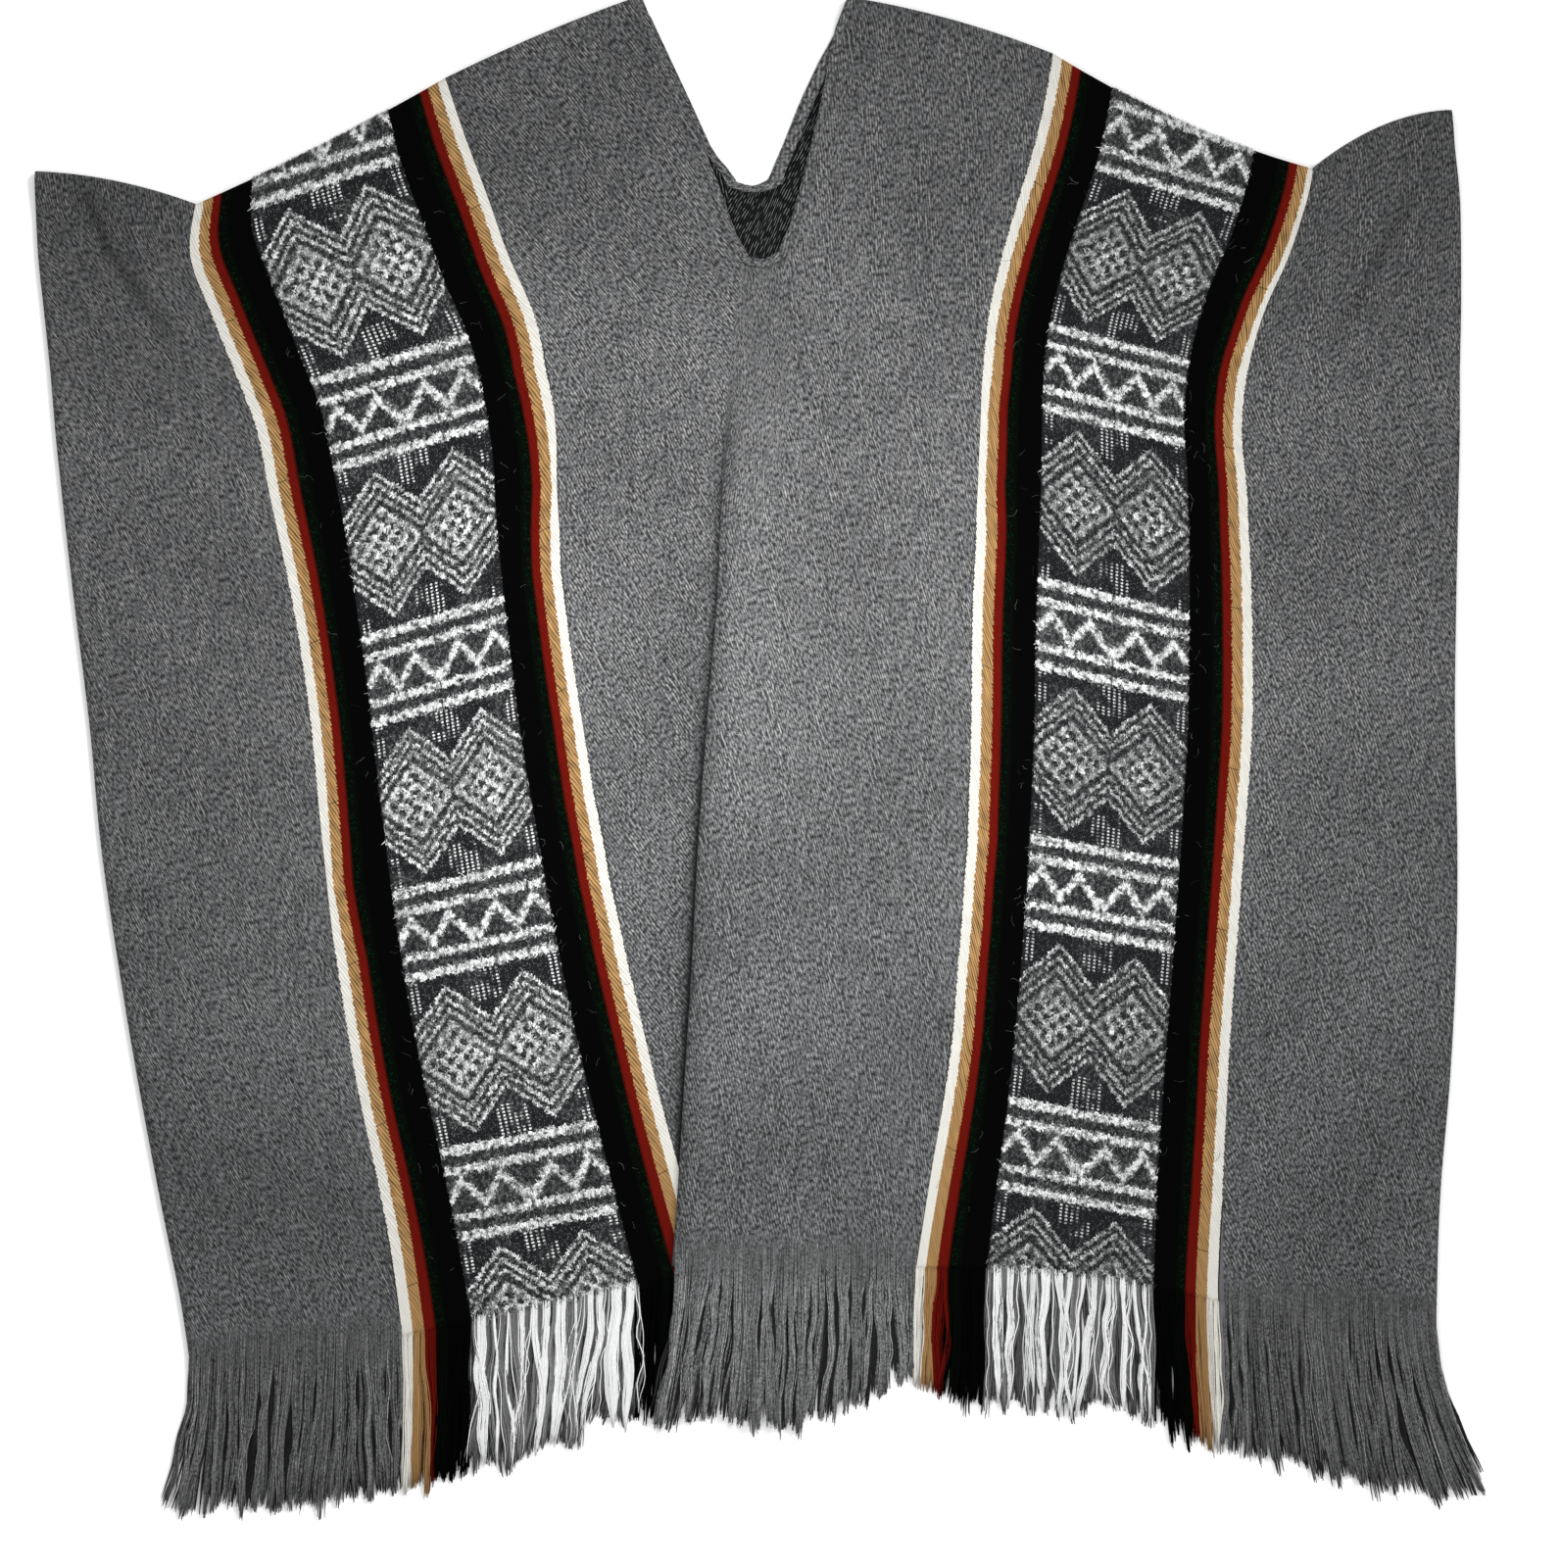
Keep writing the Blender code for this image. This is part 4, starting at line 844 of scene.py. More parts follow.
# ---- yarn: fringe and loose fibres ----------------------------------------------------------------
def tubes(name, centres, radii, maps, material):
    """Many thin tubes in one mesh, with a map "round" that is 1 on top and falls to the sides.

    `centres` is (tubes, stations, 3), `radii` (tubes, stations), and each map (tubes, stations, 2).
    """
    count, stations = centres.shape[:2]
    along = unit(np.gradient(centres, axis=1))
    across = unit(np.cross(along, np.array((0.0, 0.0, 1.0))))
    up = np.cross(across, along)
    angles = 2 * math.pi * np.arange(TUBE_SIDES) / TUBE_SIDES + math.pi / 2
    points = np.stack([centres + radii[..., None] * (math.cos(angle) * across + math.sin(angle) * up)
                       for angle in angles], 2)
    points[..., 2] = np.maximum(points[..., 2], 0.0)
    index = np.arange(count * stations * TUBE_SIDES).reshape(count, stations, TUBE_SIDES)
    crowns = 0.5 + 0.5 * np.sin(angles)
    quads, uv = [], {key: [] for key in (*maps, "round")}
    for side in range(TUBE_SIDES):
        other = (side + 1) % TUBE_SIDES
        quads.append(np.stack((index[:, :-1, side], index[:, :-1, other],
                               index[:, 1:, other], index[:, 1:, side]), 2).reshape(-1, 4))
        for key, values in maps.items():
            start, end = values[:, :-1], values[:, 1:]
            uv[key].append(np.stack((start, start, end, end), 2).reshape(-1, 2))
        corner = np.stack((crowns[[side, other, other, side]], np.zeros(4)), 1)
        uv["round"].append(np.tile(corner, (count * (stations - 1), 1)))
    caps = np.vstack((index[:, 0, ::-1], index[:, -1]))
    corners = np.concatenate((np.vstack(quads).ravel(), caps.ravel()))
    sizes = np.concatenate((np.full(sum(map(len, quads)), 4), np.full(len(caps), TUBE_SIDES)))
    for key, values in maps.items():
        ends = np.vstack([np.repeat(values[:, [end]], TUBE_SIDES, 1) for end in (0, -1)])
        uv[key].append(ends.reshape(-1, 2))
    uv["round"].append(np.full((caps.size, 2), 0.5))
    return new_mesh(name, points.reshape(-1, 3), corners, sizes,
                    {key: np.vstack(parts) for key, parts in uv.items()}, [material])


def path_places(path):
    """Distance along a polyline at each of its points."""
    steps = np.linalg.norm(np.diff(path, axis=0), axis=1)
    return np.concatenate(([0.0], np.cumsum(steps)))


def path_points(path, distance):
    """Points of a polyline at these distances along it."""
    places = path_places(path)
    return np.stack([np.interp(distance, places, axis) for axis in path.T], -1)


TUBE_SIDES = 3
STRAND_STATIONS = 15
FRONT_PILE = 2.6        # depth of the fringe's pile
BACK_PILE = 1.2
ROOT_LIFT = 1.5         # from the middle of the cloth to the roots that lie on it
STRAND_NUMBERS = 900.0  # each strand's own number lies between 0 and this

# How the yarn of a stretch hangs: width of its clumps, strands in a millimetre in the upper and the
# lower layer, their radius, waviness, how high they start above the hem, how far the clumps draw
# together, the share of single hairs, 1 where every other clump is a leaf-shaped lock, and how
# much painted shade darkens the stretch, for the light that falls off towards the sides.
Yarn = collections.namedtuple("Yarn", "clump upper lower radius wave start pinch hairs leaf dark")
YARNS = {
    "grey": Yarn(4.6, 3.2, 1.3, 0.80, 1.0, 22.0, (0.58, 0.84), 0.10, 0, 0.0),
    "outer_left": Yarn(4.6, 3.2, 1.3, 0.80, 1.0, 22.0, (0.58, 0.84), 0.10, 0, 0.35),
    "outer_right": Yarn(4.6, 3.2, 1.3, 0.80, 1.0, 22.0, (0.58, 0.84), 0.10, 0, 0.28),
    "stripes": Yarn(5.5, 3.2, 1.3, 0.86, 0.7, 3.0, (0.84, 1.00), 0.02, 0, 0.0),
    "white_close": Yarn(5.6, 3.2, 1.3, 1.00, 1.6, 6.0, (1.00, 1.50), 0.05, 1, 0.0),
    "white_apart": Yarn(5.2, 3.1, 1.3, 0.96, 1.5, 6.0, (0.60, 1.35), 0.10, 1, 0.0),
    "behind": Yarn(9.0, 0.0, 1.1, 0.75, 0.6, 0.5, (0.70, 0.95), 0.0, 0, 0.0),
}
# the lower layer lies deepest, and the grey yarn's painted shade makes it nearly black, as shadow in the
# slits
LOWER_DEPTH = 0.03
LOWER_INSET = 1.5       # how far the lower layer stays inside the ends of a stretch
LOWER_RADIUS = 1.3      # times the radius of the upper strands
LEAF_PLACES = (0.0, 0.15, 0.4, 0.75, 1.0)
LEAF_WIDTHS = (0.45, 0.8, 1.0, 0.75, 0.3)
LEAF_TONE = 0.5         # clumps above this tone are the leaf-shaped ones
ROOT_OVERLAP = 1.5      # least length of an upper strand that lies on the cloth
ROOT_RUN = 12.0         # distance down over which an upper strand comes off the cloth
FEWEST_STRANDS = 3
CLUMP_JITTER = 0.42     # how far the borders between clumps stray, in clumps
TONE_SPREAD = 0.35      # of the clumps' tones; every other clump is lighter by the step
TONE_STEP = 0.6
CLUMP_REACH = (1.0, 5.0)        # mean and spread of what the clumps hang lower
STRAND_REACH = 3.5              # spread of what single strands end higher
TIP_ROUND = 8.0                 # how much higher a clump ends at its sides
GATHER = 3.5            # the share of the fall after which strands wave in full is 1 / this
PARTS_BY = 0.40         # share of the fall at which the last clumps begin to part
PART_RUN = (0.35, 0.23) # over what share they do, and how much sooner a leaf-shaped one
TIP_START = 0.78        # share of the fall from which a tip is drawn in, and by how much
TIP_PINCH = 1.1
WAVE_POWER = 1.6        # waves along the whole fringe, and how far whole clumps swing
BROAD_WAVES = ((3.0, 17.0, 1.0), (2.0, 9.0, 0.0))   # height, distance along the hem, start
CLUMP_SWING = 2.2
CLUMP_WAVES = ((1.1, 6.0), (0.6, 13.0))             # height and turns down a clump
STRAND_SWING = 0.45     # spread of the strands' own waves, and what single hairs have more
HAIR_SWING = 0.5
STRAND_TURNS = (8.0, 26.0)
STRAND_STRAY = 0.8
# depth in the pile also sets a strand's painted shade: darker deep down, lighter on top
DEEPEST = 0.35          # depth of the upper strands in the pile, up to 1, and of single hairs
HAIR_DEPTH = 1.4
HAIR_TONE = 0.9
CLUMP_ROUND = 0.45      # how much lower a clump lies at its sides
ROOT_TAPER = (3.0, 0.4, 0.35)   # length, share of the start added to it, thickness at the root
TIP_TAPER = (0.8, 0.35)         # share of the fall at which it begins, thickness at the tip
RADIUS_SPREAD = (0.7, 1.35)
HAIR_THINNER = 0.5


def lay_strands(rng, path, fall, yarn, pile, upper):
    """One layer of a stretch: middle lines, radii, distance down, and strands' depth and tone."""
    length = path_places(path)[-1]
    clumps = max(1, round(length / yarn.clump))
    edges = np.linspace(0, length, clumps + 1)
    edges[1:-1] += rng.uniform(-CLUMP_JITTER, CLUMP_JITTER, clumps - 1) * length / clumps
    count = max(FEWEST_STRANDS, round((yarn.upper if upper else yarn.lower) * length))
    inset = 0.0 if upper else LOWER_INSET
    roots_at = np.sort(rng.uniform(inset, length - inset, count))
    which = np.clip(np.searchsorted(edges, roots_at) - 1, 0, clumps - 1)
    half = ((edges[which + 1] - edges[which]) / 2)[:, None]
    inside = (roots_at - edges[which])[:, None] - half
    aside = (inside / half)**2
    roots = path_points(path, roots_at)

    def by_clump(draw, *limits):
        """A drawn value for each strand, the same throughout its clump."""
        return draw(*limits, clumps)[which][:, None]

    def by_strand(draw, *limits):
        return draw(*limits, (count, 1))
    tone = (by_clump(rng.uniform, 0, TONE_SPREAD) + TONE_STEP * (which % 2)[:, None]) * upper
    leaf = (tone > LEAF_TONE) * yarn.leaf
    lean, reach = (np.interp(roots[:, :1], fall[:, 0], fall[:, column]) for column in (1, 2))
    reach = reach + by_clump(rng.normal, *CLUMP_REACH)
    reach = reach - np.abs(by_strand(rng.normal, 0, STRAND_REACH)) - TIP_ROUND * aside
    start = -(ROOT_OVERLAP + yarn.start * by_strand(rng.random)**1.5) * upper
    down = start + (reach - start) * np.linspace(0, 1, STRAND_STATIONS)
    fallen = np.clip(down / reach, 0, 1)
    gather = np.minimum(fallen * GATHER, 1)

    # a clump parts from its neighbours some way down, a leaf-shaped one at once; its tip is drawn in
    parts_at = by_clump(rng.uniform, 0.0, PARTS_BY) * (1 - leaf)
    parted = ease((fallen - parts_at) / (PART_RUN[0] - PART_RUN[1] * leaf)) * (1 - 0.35 * fallen)
    parted = parted + TIP_PINCH * ease((fallen - TIP_START) / (1 - TIP_START))
    pinch = by_clump(rng.uniform, *yarn.pinch) if upper else np.ones((count, 1))
    pinch = pinch * (1 + leaf * (np.interp(fallen, LEAF_PLACES, LEAF_WIDTHS) - 1))
    sideways = inside * (pinch - 1) * parted + lean * fallen**1.5
    for height, distance, turn in BROAD_WAVES:
        sideways += yarn.wave * height * np.sin(roots[:, :1] / distance + turn) * fallen**WAVE_POWER
    sideways += yarn.wave * by_clump(rng.normal, 0, CLUMP_SWING) * fallen**WAVE_POWER
    for height, turns in CLUMP_WAVES:
        turn = by_clump(rng.uniform, 0, 2 * math.pi)
        swing = by_clump(rng.normal, 0, height * yarn.wave)
        sideways += swing * (np.sin(turns * fallen + turn) - np.sin(turn)) * gather
    hair = (by_strand(rng.random) < yarn.hairs) & upper
    turn = by_strand(rng.uniform, 0, 2 * math.pi)
    swing = np.abs(by_strand(rng.normal, 0, STRAND_SWING)) + HAIR_SWING * hair
    swing = swing * yarn.wave * (1 - 0.6 * leaf)
    sideways += swing * np.sin(by_strand(rng.uniform, *STRAND_TURNS) * fallen + turn) * gather
    sideways += by_strand(rng.normal, 0, STRAND_STRAY) * fallen * (1 + hair) * (1 - 0.5 * leaf)

    if upper:
        depth = DEEPEST + (1 - DEEPEST) * by_strand(rng.random)
    else:
        depth = np.full((count, 1), LOWER_DEPTH)
    depth = np.where(hair, HAIR_DEPTH, np.maximum(depth, leaf * (0.5 + 0.5 * depth)))
    level = roots[:, 2:] + (depth - 0.5 - CLUMP_ROUND * aside * gather * upper) * pile
    root_length, added, root_width = ROOT_TAPER
    taper = np.interp(down - start, (0, root_length + yarn.start * added), (root_width, 1.0))
    taper = taper * np.interp(fallen, (TIP_TAPER[0], 1), (1.0, TIP_TAPER[1]))
    radius = yarn.radius * by_strand(rng.uniform, *RADIUS_SPREAD) * taper
    radius = radius * np.where(hair, HAIR_THINNER, 1.0) * (1.0 if upper else LOWER_RADIUS)
    on_cloth = np.maximum(roots[:, 2:] + ROOT_LIFT * (0.7 + 0.4 * np.minimum(depth, 1)), level)
    level = level + (on_cloth - level) * (1 - ease((down + 1.0) / ROOT_RUN)) * upper
    level = np.maximum(level, radius + 0.05)
    centres = np.stack((roots[:, :1] + sideways, roots[:, 1:2] - down, level), 2)
    return centres, radius, down, depth, np.maximum(tone, HAIR_TONE * hair * yarn.leaf)


def band_hem(half, first):
    """A band's stretch of the hem from this column on, its places there and its drifted shares."""
    last = first + len(BAND_SHARES) - 1
    left, right = half.maps["band"]
    path = half.grid[-1, first:last + 1]
    return path, (path[:, 0], np.append(left[-1, first:last, 0], right[-1, last - 1, 0]))


def make_locks(name, path, band, fall, yarn, pile, material, seed):
    """A stretch of fringe as clumps of strands rooted along `path`.

    `band` gives places along the hem and the band's shares there, `pile` is the pile's depth.
    """
    rng = np.random.default_rng(seed)
    layers = [lay_strands(rng, path, np.array(fall), yarn, pile, upper)
              for upper in (False, True) if (yarn.upper if upper else yarn.lower)]
    centres, radius, down, depth, tone = (np.concatenate(part) for part in zip(*layers))
    share = np.interp(centres[:, :1, 0], *band) if band else -1.0
    strand = rng.uniform(0, STRAND_NUMBERS, (len(centres), 1))
    # the band map's second number is the stretch's painted shade
    maps = {key: np.stack(np.broadcast_arrays(*pair, down)[:2], 2) for key, pair in
            (("band", (share, yarn.dark)), ("weave", (strand, down)), ("pile", (depth, tone)))}
    return tubes(name, centres, radius, maps, material)


def cut_path(points, first, last):
    """The stretch of a polyline between two shares of its length, with its own corners kept."""
    places = path_places(points)
    shares = places / places[-1]
    inside = points[(shares > first + 1e-6) & (shares < last - 1e-6)]
    start, end = (path_points(points, share * places[-1]) for share in (first, last))
    return np.vstack((start, inside, end))


def fringe_slot(name):
    if "stripes" in name or "band" in name:
        return "fringe_stripes"
    return "fringe_white" if "pattern" in name else "fringe_grey"


def make_fringe(front, back, grey_yarn, striped_yarn):
    """The stretches of fringe along both hems, as the pieces of either half."""
    panel, band = PANEL_COLUMNS, len(BAND_SHARES) - 1
    hem, behind = front.grid[-1], back.grid[-1]
    fold = front.notch + BEND_STEPS
    lap = fold + LAYER_COLUMNS + BEND_STEPS
    right_start = front.notch_end + CENTRE_COLUMNS
    back_start = len(behind) - 1 - panel - band
    left_path, left = band_hem(front, panel)
    right_path, right = band_hem(front, right_start)
    back_left_path, back_left = band_hem(back, panel)
    back_right_path, back_right = band_hem(back, back_start)
    outer, inner = PATTERN_START, 1 - PATTERN_START
    plan = (
        # half, stretch, path, shares, fall, yarn
        ("front", "left_panel", hem[:panel + 1], None, LEFT_FALL, "outer_left"),
        ("front", "left_stripes_outer", cut_path(left_path, 0, outer), left, LEFT_FALL, "stripes"),
        ("front", "left_pattern", cut_path(left_path, outer, inner), left, LEFT_FALL, "white_close"),
        ("front", "left_stripes_inner", cut_path(left_path, inner, 1), left, LEFT_FALL, "stripes"),
        ("front", "pleat_under", hem[panel + band:front.notch + 1], None, LEFT_FALL, "grey"),
        ("front", "pleat_return", hem[fold:fold + LAYER_COLUMNS + 1][::-1], None, LEFT_FALL, "grey"),
        ("front", "centre", hem[lap:right_start + 1], None, RIGHT_FALL, "grey"),
        ("front", "right_stripes_inner", cut_path(right_path, 0, outer), right, RIGHT_FALL, "stripes"),
        ("front", "right_pattern", cut_path(right_path, outer, inner), right, RIGHT_FALL, "white_apart"),
        ("front", "right_stripes_outer", cut_path(right_path, inner, 1), right, RIGHT_FALL, "stripes"),
        ("front", "right_panel", hem[right_start + band:], None, RIGHT_FALL, "outer_right"),
        ("back", "left_panel", behind[:panel + 1], None, LEFT_FALL, "behind"),
        ("back", "left_band", back_left_path, back_left, LEFT_FALL, "behind"),
        ("back", "centre", behind[panel + band:back_start + 1], None, RIGHT_FALL, "behind"),
        ("back", "right_band", back_right_path, back_right, RIGHT_FALL, "behind"),
        ("back", "right_panel", behind[back_start + band:], None, RIGHT_FALL, "behind"),
    )
    made = {"front": [], "back": []}
    for seed, (half, stretch, path, shares, fall, yarn) in enumerate(plan):
        name = half + "_" + stretch
        pile = FRONT_PILE if half == "front" else BACK_PILE
        locks = make_locks("yarn_" + name, path, shares, fall, YARNS[yarn], pile,
                           striped_yarn if shares else grey_yarn, seed)
        register(locks, fringe_slot(name), "fringe_" + name)
        made[half].append(locks)
    return made


FIBRES = 20000          # tried on each patterned band
FIBRES_ON_CHARCOAL = 0.12
FIBRE_LENGTH = (1.3, 4.4)
FIBRE_WIDTH = 0.42
FIBRE_LEAN = math.radians(-4)       # from the warp, as brushed
FIBRE_LEAN_SPREAD = math.radians(30)
FIBRE_WIDTHS = (0.6, 1.4)           # spread of the widths and heights about their own
FIBRE_LIFTS = (0.4, 1.2)
FIBRE_BEND = 0.7
CHARCOAL_RING = 1.02    # the charcoal lies outside the diamonds and above the bright rows
CHARCOAL_LEVEL = 38.0
FIBRE_SHAPE = (
    # share, height, width
    (0.0, 0.05, 1.0),
    (0.5, 1.0, 1.0),
    (1.0, 0.65, 0.35),
)


def on_charcoal(charted):
    """Whether points in band coordinates lie between the diamonds and the bright rows."""
    aside = np.abs(charted[:, 0] - 0.5) * BAND_WIDTH
    level = np.abs((charted[:, 1] + REPEAT / 2) % REPEAT - REPEAT / 2)
    ring = (np.abs(aside - DIAMOND_CENTRE) / DIAMOND_SIZE[0]
            + (REPEAT / 2 - level) / DIAMOND_SIZE[1])
    return (ring > CHARCOAL_RING) & (level > CHARCOAL_LEVEL)


def make_fibres(name, cloth, top, columns, seed, material):
    """Loose brushed fibres on a patterned band; each keeps the chart coordinates of its root."""
    rng = np.random.default_rng(seed)
    first, last = columns
    rows = rng.uniform(ROLL_COUNT - 8, top.shape[0] - 1.01, FIBRES)
    places = rng.uniform(first, last - 0.001, FIBRES)
    r, c = rows.astype(int), places.astype(int)
    down, across = (rows - r)[:, None], (places - c)[:, None]

    def at_roots(left, right):
        """Values at the roots, from those on the left and right sides of the cells."""
        above = left[r, c] * (1 - across) + right[r, c] * across
        below = left[r + 1, c] * (1 - across) + right[r + 1, c] * across
        return above * (1 - down) + below * down
    roots = at_roots(top[:, :-1], top[:, 1:])
    charted = at_roots(*cloth.maps["band"])
    kept = ~on_charcoal(charted) | (rng.random(FIBRES) < FIBRES_ON_CHARCOAL)
    roots, charted, r, c = roots[kept], charted[kept], r[kept], c[kept]
    count = len(roots)

    weft = top[r, c + 1] - top[r, c]
    along = unit(top[r + 1, c] - top[r, c])
    up = unit(np.cross(along, weft))
    side = np.cross(up, along)
    side *= np.sign(np.einsum("ij,ij->i", side, weft))[:, None]
    lean = rng.normal(FIBRE_LEAN, FIBRE_LEAN_SPREAD, count)[:, None]
    heading = np.cos(lean) * along + np.sin(lean) * side
    length = (rng.uniform(*FIBRE_LENGTH, count) * rng.choice((-1, 1), count))[:, None]
    aside = np.cross(up, heading) * FIBRE_WIDTH / 2 * rng.uniform(*FIBRE_WIDTHS, (count, 1))
    bend = side * rng.normal(0, FIBRE_BEND, (count, 1))
    stations = []
    for share, height, width in FIBRE_SHAPE:
        lift = up * height * rng.uniform(*FIBRE_LIFTS, (count, 1))
        centre = roots + heading * length * share + bend * share**2 + lift
        stations.append(np.stack((centre - aside * width, centre + aside * width), 1))
    points = np.stack(stations, 1)
    points[..., 2] = np.maximum(points[..., 2], 0.0)
    index = np.arange(count * len(stations) * 2).reshape(count, len(stations), 2)
    quads = np.stack((index[:, :-1, 0], index[:, :-1, 1], index[:, 1:, 1], index[:, 1:, 0]), 2)
    own = rng.uniform(0, STRAND_NUMBERS, (2, count)).T
    maps = {key: np.repeat(values, quads[0].size, 0)
            for key, values in (("band", charted), ("weave", own))}
    return new_mesh(name, points.reshape(-1, 3), quads.ravel(), np.full(quads.size // 4, 4),
                    maps, [material])


HAIR_STATIONS = 7
HAIR_LENGTH = (4.0, 10.0)
HAIR_RADIUS = 0.13
HAIR_CURL = 0.8         # spread of how far a hair turns, in radians, and its small waves
HAIR_WAVE = 0.3
HAIR_WAVES = (4, 9)
HAIR_LEVEL = 0.35       # of its ends over the cloth, and how much higher its middle may stand
HAIR_ARCH = 0.9
HAIRS_BEFORE = (-4, -2, -1, 0, 1)   # columns with hairs, from where a pattern begins
HAIRS_AFTER = (-1, 0, 1, 3)         # and from where it ends


def make_stray_hairs(name, top, columns, count, seed, material):
    """Single hairs that have worked loose and lie curled on the cloth, rooted in these columns."""
    rng = np.random.default_rng(seed)
    r = rng.integers(EDGE_ROWS, top.shape[0] - 8, count)
    c = rng.choice(columns, count)
    roots = top[r, c] + (top[r, c + 1] - top[r, c]) * rng.random((count, 1))
    along = np.linspace(0, 1, HAIR_STATIONS)[None]
    length = rng.uniform(*HAIR_LENGTH, (count, 1))
    heading = rng.uniform(0, 2 * math.pi, (count, 1)) + rng.normal(0, HAIR_CURL, (count, 1)) * along
    heading += HAIR_WAVE * np.sin(along * rng.uniform(*HAIR_WAVES, (count, 1)))
    step = length / (HAIR_STATIONS - 1)
    x = roots[:, :1] + np.cumsum(np.cos(heading) * step, 1)
    y = roots[:, 1:2] + np.cumsum(np.sin(heading) * step, 1)
    z = roots[:, 2:] + HAIR_LEVEL + HAIR_ARCH * np.sin(math.pi * along) * rng.random((count, 1))
    radii = HAIR_RADIUS * rng.uniform(0.6, 1.2, (count, 1)) * (1 - 0.5 * along)
    strand = np.broadcast_to(rng.uniform(0, STRAND_NUMBERS, (count, 1)), x.shape)
    maps = {"weave": np.stack((strand, strand), 2)}
    return tubes(name, np.stack((x, y, z), 2), radii, maps, material)


# ---- shading: arithmetic on fields ---------------------------------------------------------------
class Field:
    """A number that varies over a surface; arithmetic on it adds nodes."""

    def __init__(self, socket):
        self.tree = socket.id_data
        self.socket = socket

    def math(self, operation, *values):
        return compute(self.tree, operation, self, *values)

    def __add__(self, other):
        return self.math("ADD", other)

    def __sub__(self, other):
        return self.math("SUBTRACT", other)

    def __rsub__(self, other):
        return compute(self.tree, "SUBTRACT", other, self)

    def __mul__(self, other):
        return self.math("MULTIPLY", other)

    def __truediv__(self, other):
        return self.math("DIVIDE", other)

    __radd__ = __add__
    __rmul__ = __mul__

    def floor(self):
        return self.math("FLOOR")

    def part(self):
        return self.math("FRACT")

    def size(self):
        return self.math("ABSOLUTE")

    def least(self, other):
        return self.math("MINIMUM", other)

    def most(self, other):
        return self.math("MAXIMUM", other)

    def raised(self, start, gain):
        """From `start` where it's 0 to `gain` more where it's 1."""
        return self * gain + start

    def wave(self, period):
        """Up and down between 0 and 1, from 0 at 0 to 1 at half the period."""
        return self.math("PINGPONG", period / 2) * (2 / period)

    def above(self, edge, soft):
        """0 below the edge and 1 above it, over a soft step."""
        inputs = {"Value": self, "From Min": edge - soft, "From Max": edge + soft}
        node = new_node(self.tree, "MapRange", inputs, interpolation_type="SMOOTHSTEP")
        return Field(node.outputs["Result"])

    def below(self, edge, soft):
        return 1 - self.above(edge, soft)

    def near(self, place, reach, soft):
        """1 within this reach of a place and 0 beyond it."""
        return (self - place).size().below(reach, soft)


def feed(node, inputs):
    """Set a node's inputs: fields and sockets are linked, numbers and colours written."""
    for place, value in inputs.items():
        socket = node.inputs[place]
        if isinstance(value, Field):
            value = value.socket
        if isinstance(value, bpy.types.NodeSocket):
            node.id_data.links.new(value, socket)
        else:
            socket.default_value = (*value, 1.0) if socket.type == "RGBA" else value


def new_node(tree, kind, inputs, **settings):
    node = tree.nodes.new("ShaderNode" + kind)
    for name, value in settings.items():
        setattr(node, name, value)
    feed(node, inputs)
    return node


def compute(tree, operation, *values):
    return Field(new_node(tree, "Math", dict(enumerate(values)), operation=operation).outputs[0])


def vector(*parts):
    return new_node(parts[0].tree, "CombineXYZ", dict(enumerate(parts))).outputs[0]


def coordinates(shader, name):
    """The two numbers of one of the cloth's own maps."""
    source = new_node(shader.id_data, "UVMap", {}, uv_map=name)
    split = new_node(shader.id_data, "SeparateXYZ", {0: source.outputs[0]})
    return Field(split.outputs[0]), Field(split.outputs[1])


def noise(x, y, scale, seed, detail=0.0):
    """Noise about 0.5, with `scale` features in a millimetre."""
    inputs = {"Vector": vector(x * scale + seed * SEED_STEP, y * scale),
              "Scale": 1.0, "Detail": detail}
    return Field(new_node(x.tree, "TexNoise", inputs, noise_dimensions="2D").outputs["Fac"])


def spread(x, y, scale, seed, detail=0.0):
    """The same noise about 0."""
    return noise(x, y, scale, seed, detail) - 0.5


def patches(x, y, kind):
    """1 in soft-edged patches and 0 between them."""
    return noise(x, y, kind.scale, kind.seed).above(kind.edge, kind.soft)


def chance(x, y, seed):
    """A random number of its own for every pair of whole numbers."""
    inputs = {"Vector": vector(x, y, seed)}
    return Field(new_node(x.tree, "TexWhiteNoise", inputs, noise_dimensions="3D").outputs["Value"])


def mix(share, first, second):
    """Colour between two colours or colour sockets."""
    return new_node(share.tree, "Mix", {0: share, 6: first, 7: second}, data_type="RGBA").outputs[2]


def scaled(colour, factor):
    """A colour, or a colour socket, times a field."""
    inputs = {0: colour, "Scale": factor}
    return new_node(factor.tree, "VectorMath", inputs, operation="SCALE").outputs[0]


def stepped(field, stops):
    """A colour, or a grey of this value, that changes at each stop."""
    node = new_node(field.tree, "ValToRGB", {0: field / RAMP_SPAN})
    ramp = node.color_ramp
    ramp.interpolation = "CONSTANT"
    for place, (_, start, colour) in enumerate(stops):
        stop = ramp.elements[0] if place == 0 else ramp.elements.new(start / RAMP_SPAN)
        stop.position = start / RAMP_SPAN
        stop.color = (*colour, 1.0) if isinstance(colour, tuple) else (colour,) * 3 + (1.0,)
    ramp.elements.remove(ramp.elements[-1])
    return node.outputs[0]


def new_material(name, sheen, specular):
    """A rough material and its shader."""
    material = bpy.data.materials.new(name)
    material.use_nodes = True
    shader = material.node_tree.nodes["Principled BSDF"]
    feed(shader, {"Roughness": ROUGHNESS, "Sheen Weight": sheen, "Sheen Roughness": SHEEN_ROUGHNESS,
                  "Specular IOR Level": specular})
    return material, shader


def paint(shader, colour, height=None, strength=0.0, depth_mm=0.0):
    """Give a shader its colour, and the bumps that a height of up to this depth makes."""
    feed(shader, {"Base Color": colour})
    if height:
        inputs = {"Strength": strength, "Distance": depth_mm * MM, "Height": height}
        feed(shader, {"Normal": new_node(height.tree, "Bump", inputs).outputs[0]})


